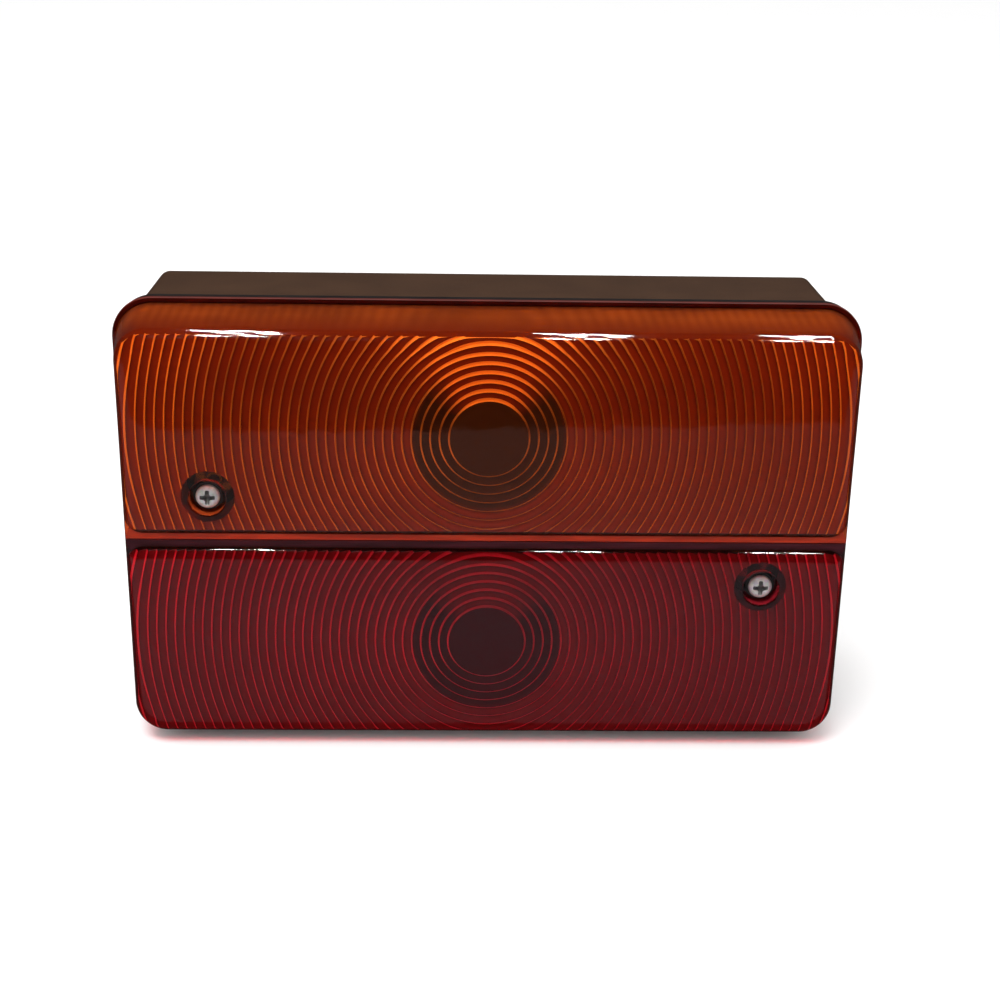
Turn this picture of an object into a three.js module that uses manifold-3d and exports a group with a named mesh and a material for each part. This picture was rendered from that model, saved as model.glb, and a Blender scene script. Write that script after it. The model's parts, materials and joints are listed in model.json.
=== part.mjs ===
// A two-colour trailer tail light: an indicator section over a stop and tail section.
// Millimetres. +X is to the right seen from behind the vehicle, +Z is up and the lens faces -Y.
// The origin is the centre of the flat back face that goes against the trailer.
import * as THREE from 'three';
import { mergeVertices } from 'three/addons/utils/BufferGeometryUtils.js';
import Module from 'manifold-3d';

const wasm = await Module();
wasm.setup();

// ---------------------------------------------------------------- driving sizes

const LAMP_WIDTH = 203.2; // across the lens rim
const LAMP_HEIGHT = 124.2;
const LAMP_DEPTH = 72; // back face to lens face
const RING_SPACING = 59.4; // between the centres of the two sections' lens rings
const WALL = 2.5; // moulded plastic walls
const GAP = 0.3; // running clearance between separate pieces
const STEPS = 24; // sides of a round piece
const SMALL_STEPS = 16;

// ---------------------------------------------------------------- sizes worked out from them

const LENS_RIM_Y = -49.4;
const LENS_FACE_Y = -LAMP_DEPTH;
const LENS_WALL = 2.8;
const LENS_INNER_FACE_Y = LENS_FACE_Y + 3;
const LENS_DRAFT = 3.4; // how much smaller the face is than the rim, on each side
const LENS_FILLET = 4.6;
const RIM_CORNER = 11;
const FACE_CORNER = 9;
const RIM_BEAD = 0.8; // how far the rim stands out from the lens wall
const RIM_BEAD_THICKNESS = 1.4;

const GROOVE_DEPTH = 2.4; // the channel between the two raised lens faces
const GROOVE_FLOOR = 1.9; // half its flat floor
const SEAM_GAP = 0.15; // each lens section stops this far from the seam plane
const RIB_HALF = 1.7;
const RIB_END_Y = -51;

const GASKET_THICKNESS = 1.5;
const GASKET_WIDTH = 3.4;
const GASKET_INSET = 1.4;
const FLANGE_FRONT_Y = LENS_RIM_Y + GASKET_THICKNESS;
const FLANGE_THICKNESS = 3.0;
const FLANGE_INSET = 0.5;
const HOUSING_INSET = 4.0; // lens rim to the side of the housing
const HOUSING_DRAFT = 0.9;
const HOUSING_CORNER = 3.5;
const HOUSING_BACK_FILLET = 1.6;
const BACK_WALL = 3;
const DIVIDER = 2.4;
const DIVIDER_FRONT_Y = -50;

const SCREW_X = 75;
const SCREW_Z = 12.7;
const SCREW_HEAD_R = 3.25;
const SCREW_SHANK_R = 1.75;
const SCREW_SEAT_Y = -68.6;
const SCREW_SEAL = 0.9;
const SCREW_HEAD_HEIGHT = 2.1;
const SCREW_LENGTH = 31;
const COUNTERBORE_R = 4.9;
const LENS_TUBE_R = 7.2;
const BOSS_R = 5.5;
const BOSS_FRONT_Y = -50.4;
const BOSS_BORE_END_Y = -30;

const BULB_Z = RING_SPACING / 2;
const BULB_LENGTH = 49;
const BULB_BASE_Y = -14.5; // the plane where bulb and socket contacts meet
const BULB_R = 12.5;
const CAP_R = 7.5;
const CAP_LENGTH = 14.5;
const CAP_START = 3.0;
const CAP_WALL = 0.45;
const CAP_EDGE = 0.6; // the cap's end turns in by this much round the black glass
const GLASS_WALL = 0.7;
const GLASS_NECK_R = 6.7;
const GLASS_START = 14.5;
const GLASS_FLARE_START = 19; // here the neck begins to widen towards the round part
const GLASS_FLARE_PULL = 3; // handle lengths of the curve between the neck and the round part
const GLASS_BALL_PULL = 2.6;
const INSULATOR_START = 0.7;
const INSULATOR_DEPTH = 1.6; // how far the black glass reaches into the cap
const PIN_R = 1.0;
const PIN_REACH = 8.5;
const PIN_FROM_BASE = 7.1;
const PIN_OFFSET = 3.0; // the second pin of a two-filament bulb sits this much further forward
const UNLOCK_ANGLE = THREE.MathUtils.degToRad(25);
const PRESS_TRAVEL = 2.2;

const SOCKET_R = CAP_R + GAP;
const SOCKET_WALL = 0.8;
const SOCKET_BACK_Y = -6;
const SOCKET_FRONT_Y = -29;
const SOCKET_LIP_R = 4.8;
const EAR_REACH = 21;
const EAR_HALF_WIDTH = 4.5;
const RIVET_OFFSET = 17;
const RIVET_R = 1.45;
const RIVET_HOLE_R = RIVET_R + GAP;
const RIVET_HEAD_R = 2.8;
const RIVET_HEAD = 1.0;
const RIVET_POCKET_R = 3.2;
const RIVET_POCKET = 1.2;

const DISC_THICKNESS = 2.4;
const CONTACT_PROUD = 0.6;
const CONTACT_R = 1.8;
const CONTACT_SHANK_R = 1.1;
const CONTACT_TAIL = 1.0;
const CONTACT_OFFSET = 3.4; // each contact of the two-filament bulb, from its axis
const SPRING_R = 6.2;
const SPRING_WIRE_R = 0.35;
const SPRING_TURNS = 2.6;

const LEAD_R = 0.9;
const LEAD_Y = -4.4; // leads lie along the inside of the back wall
const CABLE_X = 36;
const CABLE_Z = -30;
const GROMMET_R = 7;
const GROMMET_NECK_R = 5.1;
const GROMMET_BORE_R = 3.5;
const GROMMET_POCKET = 2;
const CABLE_PAD_R = 9.5;
const CABLE_PAD_Y = -5;
const GROMMET_INNER_Y = -6.8;
const LEAD_END_Y = -7.9;
const INDICATOR_LEAD_X = 46; // where the indicator lead passes the divider

const STUD_X = 55;
const STUD_Z = 20;
const STUD_R = 3;
const STUD_LENGTH = 24; // behind the back face
const STUD_HEAD_FLATS = 10;
const STUD_HEAD = 4;
const STUD_POCKET_Y = -3.5;
const STUD_PAD_R = 8.5;
const STUD_PAD_Y = -8.2;
const WASHER_R = 6;
const WASHER_THICKNESS = 1.2;
const SPRING_WASHER_R = 5.4;
const SPRING_WASHER_THICKNESS = 1.6;
const NUT_THICKNESS = 5;

// ---------------------------------------------------------------- solids

function solid(geometry) {
  const bare = geometry.clone();
  bare.deleteAttribute('normal');
  bare.deleteAttribute('uv');
  const merged = mergeVertices(bare, 1e-5);
  const index = merged.index.array;
  const kept = [];
  for (let i = 0; i < index.length; i += 3) {
    const [a, b, c] = [index[i], index[i + 1], index[i + 2]];
    if (a !== b && b !== c && c !== a) kept.push(a, b, c);
  }
  return new wasm.Manifold(new wasm.Mesh({
    numProp: 3,
    vertProperties: new Float32Array(merged.attributes.position.array),
    triVerts: new Uint32Array(kept),
  }));
}

function geometryOf(shape) {
  const mesh = shape.getMesh();
  const geometry = new THREE.BufferGeometry();
  geometry.setAttribute('position', new THREE.BufferAttribute(mesh.vertProperties, 3));
  geometry.setIndex(new THREE.BufferAttribute(mesh.triVerts, 1));
  geometry.computeVertexNormals();
  return geometry;
}

const join = (shapes) => shapes.reduce((sum, next) => sum.add(next));
const cut = (body, shapes) => shapes.reduce((left, next) => left.subtract(next), body);

// A box from its limits along X, Y and Z.
function block([x0, x1], [y0, y1], [z0, z1]) {
  const box = new THREE.BoxGeometry(x1 - x0, y1 - y0, z1 - z0);
  return box.translate((x0 + x1) / 2, (y0 + y1) / 2, (z0 + z1) / 2);
}

// A round bar along Y at x, z.
function bar(x, z, radius, y0, y1) {
  const cylinder = new THREE.CylinderGeometry(radius, radius, y1 - y0, STEPS);
  return cylinder.translate(x, (y0 + y1) / 2, z);
}

// A profile of [radius, y] points turned about Y. It runs anticlockwise seen with y upwards.
function turned(profile, steps = STEPS) {
  return new THREE.LatheGeometry(profile.map(([r, y]) => new THREE.Vector2(r, y)), steps);
}

// A tube or ring between two radii.
function ring(inner, outer, y0, y1, steps = STEPS) {
  return turned([[inner, y0], [outer, y0], [outer, y1], [inner, y1], [inner, y0]], steps);
}

// A flat outline in X and Z, carried along Y from yFront back to yBack.
function slab(shape, yFront, yBack) {
  const plate = new THREE.ExtrudeGeometry(shape, {
    depth: yBack - yFront, bevelEnabled: false, curveSegments: 12,
  });
  return plate.rotateX(Math.PI / 2).translate(0, yBack, 0);
}

function hexagon(flats) {
  const corner = flats / 2 / Math.cos(Math.PI / 6);
  const points = Array.from({ length: 6 }, (_, i) => new THREE.Vector2(
    corner * Math.cos(i * Math.PI / 3), corner * Math.sin(i * Math.PI / 3)));
  return new THREE.Shape(points);
}

// The part of a ring between two angles.
function sector(inner, outer, from, to) {
  const shape = new THREE.Shape();
  shape.absarc(0, 0, outer, from, to, false);
  shape.absarc(0, 0, inner, to, from, true);
  return shape;
}

// A rectangle with round corners, as points in X and Z, anticlockwise seen from the front.
function roundedOutline(halfWidth, halfHeight, corner) {
  const perCorner = 7;
  const points = [];
  const centres = [[1, -1], [1, 1], [-1, 1], [-1, -1]];
  centres.forEach(([sideX, sideZ], quarter) => {
    for (let i = 0; i <= perCorner; i += 1) {
      const angle = (quarter - 1 + i / perCorner) * Math.PI / 2;
      points.push([
        sideX * (halfWidth - corner) + corner * Math.cos(angle),
        sideZ * (halfHeight - corner) + corner * Math.sin(angle),
      ]);
    }
  });
  return points;
}

// A solid through a stack of rounded rectangles, listed from the back forwards.
function stacked(levels) {
  const outlines = levels.map(({ halfWidth, halfHeight, corner }) => (
    roundedOutline(halfWidth, halfHeight, corner)));
  const count = outlines[0].length;
  const position = levels.flatMap(({ y }, level) => outlines[level].flatMap(([x, z]) => [x, y, z]));
  const index = [];
  for (let level = 0; level + 1 < levels.length; level += 1) {
    for (let i = 0; i < count; i += 1) {
      const next = (i + 1) % count;
      const [back, front] = [level * count, (level + 1) * count];
      index.push(back + i, back + next, front + i);
      index.push(back + next, front + next, front + i);
    }
  }
  const last = (levels.length - 1) * count;
  for (let i = 1; i + 1 < count; i += 1) {
    index.push(0, i + 1, i);
    index.push(last, last + i, last + i + 1);
  }
  const geometry = new THREE.BufferGeometry();
  geometry.setAttribute('position', new THREE.Float32BufferAttribute(position, 3));
  geometry.setIndex(index);
  return geometry;
}

// The levels of a rounded edge: the outline shrinks along a quarter circle towards y = frontY.
function filletLevels(halfWidth, halfHeight, corner, radius, frontY, steps = 5) {
  return Array.from({ length: steps }, (_, i) => {
    const angle = (i + 1) / steps * Math.PI / 2;
    const inset = radius * (1 - Math.cos(angle));
    return {
      y: frontY + radius * (1 - Math.sin(angle)),
      halfWidth: halfWidth - inset,
      halfHeight: halfHeight - inset,
      corner: corner - inset,
    };
  });
}

// A round wire along a curve.
function wire(curve, radius, steps, sides = 8) {
  const section = new THREE.Shape(Array.from({ length: sides }, (_, i) => new THREE.Vector2(
    radius * Math.cos(2 * Math.PI * i / sides), radius * Math.sin(2 * Math.PI * i / sides))));
  return new THREE.ExtrudeGeometry(section, { steps, bevelEnabled: false, extrudePath: curve });
}

class Helix extends THREE.Curve {
  constructor(radius, yFront, yBack, turns) {
    super();
    Object.assign(this, { radius, yFront, yBack, turns });
  }

  getPoint(t, target = new THREE.Vector3()) {
    const angle = 2 * Math.PI * this.turns * t;
    return target.set(
      this.radius * Math.cos(angle),
      this.yFront + (this.yBack - this.yFront) * t,
      this.radius * Math.sin(angle),
    );
  }
}

// ---------------------------------------------------------------- materials

const material = (color, roughness, metalness = 0) => () => (
  new THREE.MeshStandardMaterial({ color, roughness, metalness }));
const blackPlastic = material('#241d1a', 0.62);
const amberPlastic = material('#a8360a', 0.12);
const redPlastic = material('#7c0a14', 0.12);
const blackRubber = material('#151515', 0.85);
const zincSteel = material('#b9bcbd', 0.35, 1);
const springSteel = material('#8d9093', 0.4, 1);
const brass = material('#b08a45', 0.35, 1);
const nickelBrass = material('#b5b1a4', 0.35, 1);
const phenolic = material('#4a2a18', 0.7);
const vitrite = material('#0d0d10', 0.2);
const solder = material('#9a9c9c', 0.45, 1);
const clearGlass = material('#dfe6e6', 0.05);
const tungsten = material('#6d6a66', 0.5, 1);
const leadGreen = material('#2c7a3a', 0.5);
const leadRed = material('#a3201c', 0.5);
const leadBrown = material('#5d3a20', 0.5);
const leadWhite = material('#d9d6cd', 0.5);

const light = new THREE.Group();

function add(name, geometry, paint, x = 0, z = 0) {
  const mesh = new THREE.Mesh(geometry, paint());
  mesh.name = name;
  mesh.position.set(x, 0, z);
  light.add(mesh);
}

// ---------------------------------------------------------------- housing

const rimHalfWidth = LAMP_WIDTH / 2;
const rimHalfHeight = LAMP_HEIGHT / 2;
const housingHalfWidth = rimHalfWidth - HOUSING_INSET;
const housingHalfHeight = rimHalfHeight - HOUSING_INSET;
const screwPlaces = [[-SCREW_X, SCREW_Z], [SCREW_X, -SCREW_Z]];
const studPlaces = [[-STUD_X, STUD_Z], [STUD_X, STUD_Z]];
const rivetPlaces = [BULB_Z, -BULB_Z].flatMap((z) => [z + RIVET_OFFSET, z - RIVET_OFFSET]);

function housingOuter() {
  const back = {
    halfWidth: housingHalfWidth - HOUSING_DRAFT,
    halfHeight: housingHalfHeight - HOUSING_DRAFT,
    corner: HOUSING_CORNER,
  };
  const rounded = filletLevels(back.halfWidth, back.halfHeight, HOUSING_CORNER, HOUSING_BACK_FILLET, 0, 4);
  const backEdge = rounded.map((level) => ({ ...level, y: -level.y })).reverse();
  return stacked([
    ...backEdge,
    { ...back, y: -HOUSING_BACK_FILLET },
    {
      y: FLANGE_FRONT_Y,
      halfWidth: housingHalfWidth,
      halfHeight: housingHalfHeight,
      corner: HOUSING_CORNER + HOUSING_DRAFT,
    },
  ]);
}

function housingCavity() {
  const level = (y, grow) => ({
    y,
    halfWidth: housingHalfWidth - WALL + grow,
    halfHeight: housingHalfHeight - WALL + grow,
    corner: HOUSING_CORNER - WALL + 1 + grow,
  });
  return stacked([level(-BACK_WALL, -HOUSING_DRAFT), level(FLANGE_FRONT_Y - 1, 0)]);
}

function housingFlange() {
  const level = (y) => ({
    y,
    halfWidth: rimHalfWidth - FLANGE_INSET,
    halfHeight: rimHalfHeight - FLANGE_INSET,
    corner: RIM_CORNER - FLANGE_INSET,
  });
  return stacked([level(FLANGE_FRONT_Y + FLANGE_THICKNESS), level(FLANGE_FRONT_Y)]);
}

function housing() {
  const outer = solid(housingOuter());
  const shell = cut(join([outer, solid(housingFlange())]), [solid(housingCavity())]);
  const rooted = -BACK_WALL / 2; // inner features start inside the back wall
  const divider = solid(block(
    [-housingHalfWidth, housingHalfWidth], [DIVIDER_FRONT_Y, rooted], [-DIVIDER / 2, DIVIDER / 2],
  )).intersect(solid(block(
    [-housingHalfWidth + 1, housingHalfWidth - 1], [DIVIDER_FRONT_Y, 0], [-DIVIDER, DIVIDER])));
  const bosses = screwPlaces.map(([x, z]) => solid(bar(x, z, BOSS_R, BOSS_FRONT_Y, rooted)));
  const socketPads = rivetPlaces.map((z) => (
    solid(block([-5, 5], [SOCKET_BACK_Y, rooted], [z - 4, z + 4]))));
  const studPads = studPlaces.map(([x, z]) => solid(bar(x, z, STUD_PAD_R, STUD_PAD_Y, rooted)));
  const cablePad = solid(bar(CABLE_X, CABLE_Z, CABLE_PAD_R, CABLE_PAD_Y, rooted));
  const body = join([shell, divider, ...bosses, ...socketPads, ...studPads, cablePad]);

  const through = 1; // cutters run this far past a face
  const screwBores = screwPlaces.map(([x, z]) => (
    solid(bar(x, z, SCREW_SHANK_R + GAP, BOSS_FRONT_Y - through, BOSS_BORE_END_Y))));
  const rivetHoles = rivetPlaces.flatMap((z) => [
    solid(bar(0, z, RIVET_HOLE_R, SOCKET_BACK_Y - through, through)),
    solid(bar(0, z, RIVET_POCKET_R, -RIVET_POCKET, through)),
  ]);
  const studHoles = studPlaces.flatMap(([x, z]) => [
    solid(bar(x, z, STUD_R + GAP, STUD_PAD_Y - through, through)),
    solid(slab(hexagon(STUD_HEAD_FLATS + 2 * GAP), STUD_PAD_Y - through, STUD_POCKET_Y)
      .translate(x, 0, z)),
  ]);
  const cableHoles = [
    solid(bar(CABLE_X, CABLE_Z, GROMMET_NECK_R + GAP, CABLE_PAD_Y - through, through)),
    solid(bar(CABLE_X, CABLE_Z, GROMMET_R + GAP, -GROMMET_POCKET, through)),
  ];
  const notchFront = SOCKET_BACK_Y - 3.6;
  const dividerNotches = [
    solid(block([-6, 6], [notchFront, -BACK_WALL], [-DIVIDER, DIVIDER])),
    solid(block([INDICATOR_LEAD_X - 2.5, INDICATOR_LEAD_X + 2.5],
      [notchFront, -BACK_WALL], [-DIVIDER, DIVIDER])),
  ];
  return geometryOf(cut(body, [
    ...screwBores, ...rivetHoles, ...studHoles, ...cableHoles, ...dividerNotches]));
}

function gasket() {
  const level = (y, inset) => ({
    y,
    halfWidth: rimHalfWidth - inset,
    halfHeight: rimHalfHeight - inset,
    corner: RIM_CORNER - inset,
  });
  const outer = stacked([level(FLANGE_FRONT_Y, GASKET_INSET), level(LENS_RIM_Y, GASKET_INSET)]);
  const hole = GASKET_INSET + GASKET_WIDTH;
  const inner = stacked([level(FLANGE_FRONT_Y + 1, hole), level(LENS_RIM_Y - 1, hole)]);
  return geometryOf(cut(solid(outer), [solid(inner)]));
}

// ---------------------------------------------------------------- lens

function lensOuter() {
  const rim = {
    halfWidth: rimHalfWidth,
    halfHeight: rimHalfHeight,
    corner: RIM_CORNER,
  };
  const wall = {
    halfWidth: rimHalfWidth - RIM_BEAD,
    halfHeight: rimHalfHeight - RIM_BEAD,
    corner: RIM_CORNER - RIM_BEAD,
  };
  const face = {
    halfWidth: rimHalfWidth - LENS_DRAFT,
    halfHeight: rimHalfHeight - LENS_DRAFT,
    corner: FACE_CORNER,
  };
  const beadFront = LENS_RIM_Y - RIM_BEAD_THICKNESS;
  return stacked([
    { ...rim, y: LENS_RIM_Y },
    { ...rim, y: beadFront },
    { ...wall, y: beadFront - 0.3 },
    { ...face, y: LENS_FACE_Y + LENS_FILLET },
    ...filletLevels(face.halfWidth, face.halfHeight, FACE_CORNER, LENS_FILLET, LENS_FACE_Y),
  ]);
}

function lensHollow() {
  const level = (y, inset, corner) => ({
    y,
    halfWidth: rimHalfWidth - inset - LENS_WALL,
    halfHeight: rimHalfHeight - inset - LENS_WALL,
    corner,
  });
  const innerFillet = 1.4;
  const front = level(0, LENS_DRAFT, FACE_CORNER - 2.4);
  return stacked([
    level(LENS_RIM_Y + 1, RIM_BEAD, RIM_CORNER - LENS_WALL),
    { ...front, y: LENS_INNER_FACE_Y + innerFillet },
    ...filletLevels(front.halfWidth, front.halfHeight, front.corner, innerFillet, LENS_INNER_FACE_Y, 2),
  ]);
}

// The channel between the raised faces, with a round lip on each side.
function seamGroove() {
  const floorY = LENS_FACE_Y + GROOVE_DEPTH;
  const lip = GROOVE_FLOOR + GROOVE_DEPTH;
  const past = LENS_FACE_Y - 1;
  const profile = new THREE.Shape();
  profile.moveTo(-GROOVE_FLOOR, floorY);
  profile.lineTo(GROOVE_FLOOR, floorY);
  profile.absarc(lip, floorY, GROOVE_DEPTH, Math.PI, Math.PI * 1.5, false);
  profile.lineTo(lip, past);
  profile.lineTo(-lip, past);
  profile.lineTo(-lip, LENS_FACE_Y);
  profile.absarc(-lip, floorY, GROOVE_DEPTH, Math.PI * 1.5, Math.PI * 2, false);
  const channel = new THREE.ExtrudeGeometry(profile, {
    depth: LAMP_WIDTH, bevelEnabled: false, curveSegments: 6,
  });
  // the profile's x goes to Z and the depth to X
  channel.applyMatrix4(new THREE.Matrix4().makeBasis(
    new THREE.Vector3(0, 0, 1), new THREE.Vector3(0, 1, 0), new THREE.Vector3(-1, 0, 0)));
  return channel.translate(LAMP_WIDTH / 2, 0, 0);
}

function wholeLens() {
  const outer = solid(lensOuter());
  const floorY = LENS_FACE_Y + GROOVE_DEPTH;
  const wide = [-rimHalfWidth, rimHalfWidth];
  const backing = GROOVE_FLOOR + GROOVE_DEPTH;
  const ribs = [
    solid(block(wide, [floorY, RIB_END_Y], [-RIB_HALF, RIB_HALF])),
    solid(block(wide, [floorY, floorY + LENS_WALL], [-backing, backing])),
  ];
  const tubes = screwPlaces.map(([x, z]) => (
    solid(bar(x, z, LENS_TUBE_R, LENS_INNER_FACE_Y - 1, RIB_END_Y))));
  const hollow = cut(solid(lensHollow()), [...ribs, ...tubes]);
  const holes = screwPlaces.flatMap(([x, z]) => [
    solid(bar(x, z, COUNTERBORE_R, LENS_FACE_Y - 1, SCREW_SEAT_Y)),
    solid(bar(x, z, SCREW_SHANK_R + GAP, LENS_FACE_Y - 1, RIB_END_Y + 1)),
  ]);
  return cut(outer, [hollow, solid(seamGroove()), ...holes]);
}

function lensSection(whole, side) {
  const half = [SEAM_GAP, rimHalfHeight + 1].map((z) => side * z).sort((a, b) => a - b);
  const region = solid(block([-LAMP_WIDTH, LAMP_WIDTH], [LENS_FACE_Y - 1, 0], half));
  return geometryOf(whole.intersect(region));
}

// ---------------------------------------------------------------- lens screws

function lensScrew() {
  const under = SCREW_SEAT_Y - SCREW_SEAL;
  const top = under - SCREW_HEAD_HEIGHT;
  const tip = under + SCREW_LENGTH;
  const body = solid(turned([
    [0, top],
    [SCREW_HEAD_R - 1.0, top],
    [SCREW_HEAD_R - 0.3, top + 0.5],
    [SCREW_HEAD_R, top + 1.3],
    [SCREW_HEAD_R, under],
    [SCREW_SHANK_R, under],
    [SCREW_SHANK_R, tip - 2.4],
    [0, tip],
  ], SMALL_STEPS));
  const slotLength = SCREW_HEAD_R - 0.8;
  const slotHalf = 0.5;
  const depth = [top - 1, top + 1.5];
  const slots = [
    solid(block([-slotLength, slotLength], depth, [-slotHalf, slotHalf])),
    solid(block([-slotHalf, slotHalf], depth, [-slotLength, slotLength])),
  ];
  return geometryOf(cut(body, slots));
}

const SEAL_MARGIN = 0.8; // the seal shows this far round the screw's head
const screwSeal = () => ring(
  SCREW_SHANK_R + GAP, SCREW_HEAD_R + SEAL_MARGIN, SCREW_SEAT_Y - SCREW_SEAL, SCREW_SEAT_Y);

// ---------------------------------------------------------------- bulb sockets

// The bayonet window for one pin. pinAngle is where the locked pin stands, in the XZ plane.
function bayonetSlot(pinAngle, pinY) {
  const half = Math.asin((PIN_R + GAP) / SOCKET_R);
  const [inner, outer] = [SOCKET_R - 1, SOCKET_R + SOCKET_WALL + 1];
  const windowFront = pinY - PIN_R - GAP;
  const windowBack = pinY + PRESS_TRAVEL + PIN_R + GAP;
  const entry = pinAngle + UNLOCK_ANGLE;
  return join([
    solid(slab(sector(inner, outer, pinAngle - half, entry + half), windowFront, windowBack)),
    solid(slab(sector(inner, outer, entry - half, entry + half), SOCKET_FRONT_Y - 1, windowBack)),
  ]);
}

function socketShell(pinYs) {
  const outer = SOCKET_R + SOCKET_WALL;
  const lipFront = SOCKET_BACK_Y - SOCKET_WALL;
  const tube = solid(turned([
    [SOCKET_R, SOCKET_FRONT_Y],
    [outer, SOCKET_FRONT_Y],
    [outer, SOCKET_BACK_Y],
    [SOCKET_LIP_R, SOCKET_BACK_Y],
    [SOCKET_LIP_R, lipFront],
    [SOCKET_R, lipFront],
    [SOCKET_R, SOCKET_FRONT_Y],
  ], 32));
  const ears = [-1, 1].map((side) => {
    const reach = [side * (SOCKET_R + 0.3), side * EAR_REACH].sort((a, b) => a - b);
    return solid(block([-EAR_HALF_WIDTH, EAR_HALF_WIDTH], [lipFront, SOCKET_BACK_Y], reach));
  });
  const holes = [-1, 1].map((side) => (
    solid(bar(0, side * RIVET_OFFSET, RIVET_HOLE_R, lipFront - 1, SOCKET_BACK_Y + 1))));
  const slots = pinYs.map((y, i) => bayonetSlot(i * Math.PI, y));
  return geometryOf(cut(join([tube, ...ears]), [...holes, ...slots]));
}

const discFrontY = BULB_BASE_Y + CONTACT_PROUD;
const discBackY = discFrontY + DISC_THICKNESS;

function contactDisc(contactXs) {
  const disc = solid(turned([[0, discFrontY], [CAP_R, discFrontY], [CAP_R, discBackY], [0, discBackY]]));
  const holes = contactXs.map((x) => (
    solid(bar(x, 0, CONTACT_SHANK_R + 0.2, discFrontY - 1, discBackY + 1))));
  return geometryOf(cut(disc, holes));
}

const socketContact = () => turned([
  [0, BULB_BASE_Y],
  [CONTACT_R, BULB_BASE_Y],
  [CONTACT_R, discFrontY],
  [CONTACT_SHANK_R, discFrontY],
  [CONTACT_SHANK_R, discBackY + CONTACT_TAIL],
  [0, discBackY + CONTACT_TAIL],
], SMALL_STEPS);

function socketSpring() {
  const front = discBackY + SPRING_WIRE_R + 0.05;
  const back = SOCKET_BACK_Y - SOCKET_WALL - SPRING_WIRE_R - 0.05;
  return wire(new Helix(SPRING_R, front, back, SPRING_TURNS), SPRING_WIRE_R, 42, 5);
}

// A tubular rivet through the socket ear, the pad and the back wall.
function rivet(frontY) {
  const backHead = -RIVET_POCKET;
  return turned([
    [0, frontY - RIVET_HEAD],
    [RIVET_HEAD_R - 0.7, frontY - RIVET_HEAD],
    [RIVET_HEAD_R, frontY - 0.3],
    [RIVET_HEAD_R, frontY],
    [RIVET_R, frontY],
    [RIVET_R, backHead],
    [RIVET_HEAD_R - 0.2, backHead],
    [RIVET_HEAD_R - 0.4, backHead + 0.6],
    [0, backHead + 0.9],
  ], SMALL_STEPS);
}

const earFrontY = SOCKET_BACK_Y - SOCKET_WALL;
const stripFrontY = earFrontY - 0.8;

function earthStrip() {
  const reach = BULB_Z - RIVET_OFFSET + 4;
  const strip = solid(block([-4, 4], [stripFrontY, earFrontY], [-reach, reach]));
  const tab = solid(block([0, 12.5], [stripFrontY, earFrontY], [-9, -4]));
  const holes = [-1, 1].map((side) => (
    solid(bar(0, side * (BULB_Z - RIVET_OFFSET), RIVET_HOLE_R, stripFrontY - 1, earFrontY + 1))));
  return geometryOf(cut(join([strip, tab]), holes));
}

// ---------------------------------------------------------------- bulbs

const fromBase = (distance) => BULB_BASE_Y - distance; // y of a point on a bulb, from its contacts

// Outer wall of the glass from the neck to the tip, as [radius, distance from the contacts].
function glassOutline(shrink) {
  const centre = BULB_LENGTH - BULB_R;
  const neck = GLASS_NECK_R - shrink;
  const joinAngle = THREE.MathUtils.degToRad(50); // where the neck's curve meets the sphere
  const sphere = BULB_R - shrink;
  const meets = [sphere * Math.cos(joinAngle), centre - sphere * Math.sin(joinAngle)];
  const flare = new THREE.CubicBezierCurve(
    new THREE.Vector2(neck, GLASS_FLARE_START),
    new THREE.Vector2(neck, GLASS_FLARE_START + GLASS_FLARE_PULL),
    new THREE.Vector2(
      meets[0] - GLASS_BALL_PULL * Math.sin(joinAngle), meets[1] - GLASS_BALL_PULL * Math.cos(joinAngle)),
    new THREE.Vector2(...meets),
  );
  const ballSteps = 7;
  const ball = Array.from({ length: ballSteps }, (_, i) => {
    const angle = -joinAngle + (i + 1) / ballSteps * (Math.PI / 2 + joinAngle);
    return [Math.max(sphere * Math.cos(angle), 0), centre + sphere * Math.sin(angle)];
  });
  ball[ball.length - 1][0] = 0;
  return [[neck, GLASS_START], ...flare.getPoints(4).map((p) => [p.x, p.y]), ...ball];
}

function bulbGlass() {
  const outer = glassOutline(0).map(([r, s]) => [r, fromBase(s)]);
  const inner = glassOutline(GLASS_WALL).map(([r, s]) => [r, fromBase(s)]);
  return turned([...outer.slice().reverse(), ...inner], STEPS);
}

function bulbCap(pinOffsets) {
  const [base, end] = [fromBase(CAP_START), fromBase(CAP_START + CAP_LENGTH)];
  const inner = CAP_R - CAP_WALL;
  const body = solid(turned([
    [inner, end],
    [CAP_R, end],
    [CAP_R, base - CAP_EDGE],
    [CAP_R - CAP_EDGE, base],
    [inner - CAP_EDGE, base],
    [inner - CAP_EDGE, base - CAP_WALL],
    [inner, base - CAP_WALL - CAP_EDGE],
    [inner, end],
  ]));
  const pins = pinOffsets.map((offset, i) => {
    const length = PIN_REACH - inner;
    const pin = new THREE.CylinderGeometry(PIN_R, PIN_R, length, 16).rotateZ(Math.PI / 2);
    const side = i === 0 ? 1 : -1;
    return solid(pin.translate(side * (PIN_REACH - length / 2), fromBase(PIN_FROM_BASE + offset), 0));
  });
  return geometryOf(join([body, ...pins]));
}

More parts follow.
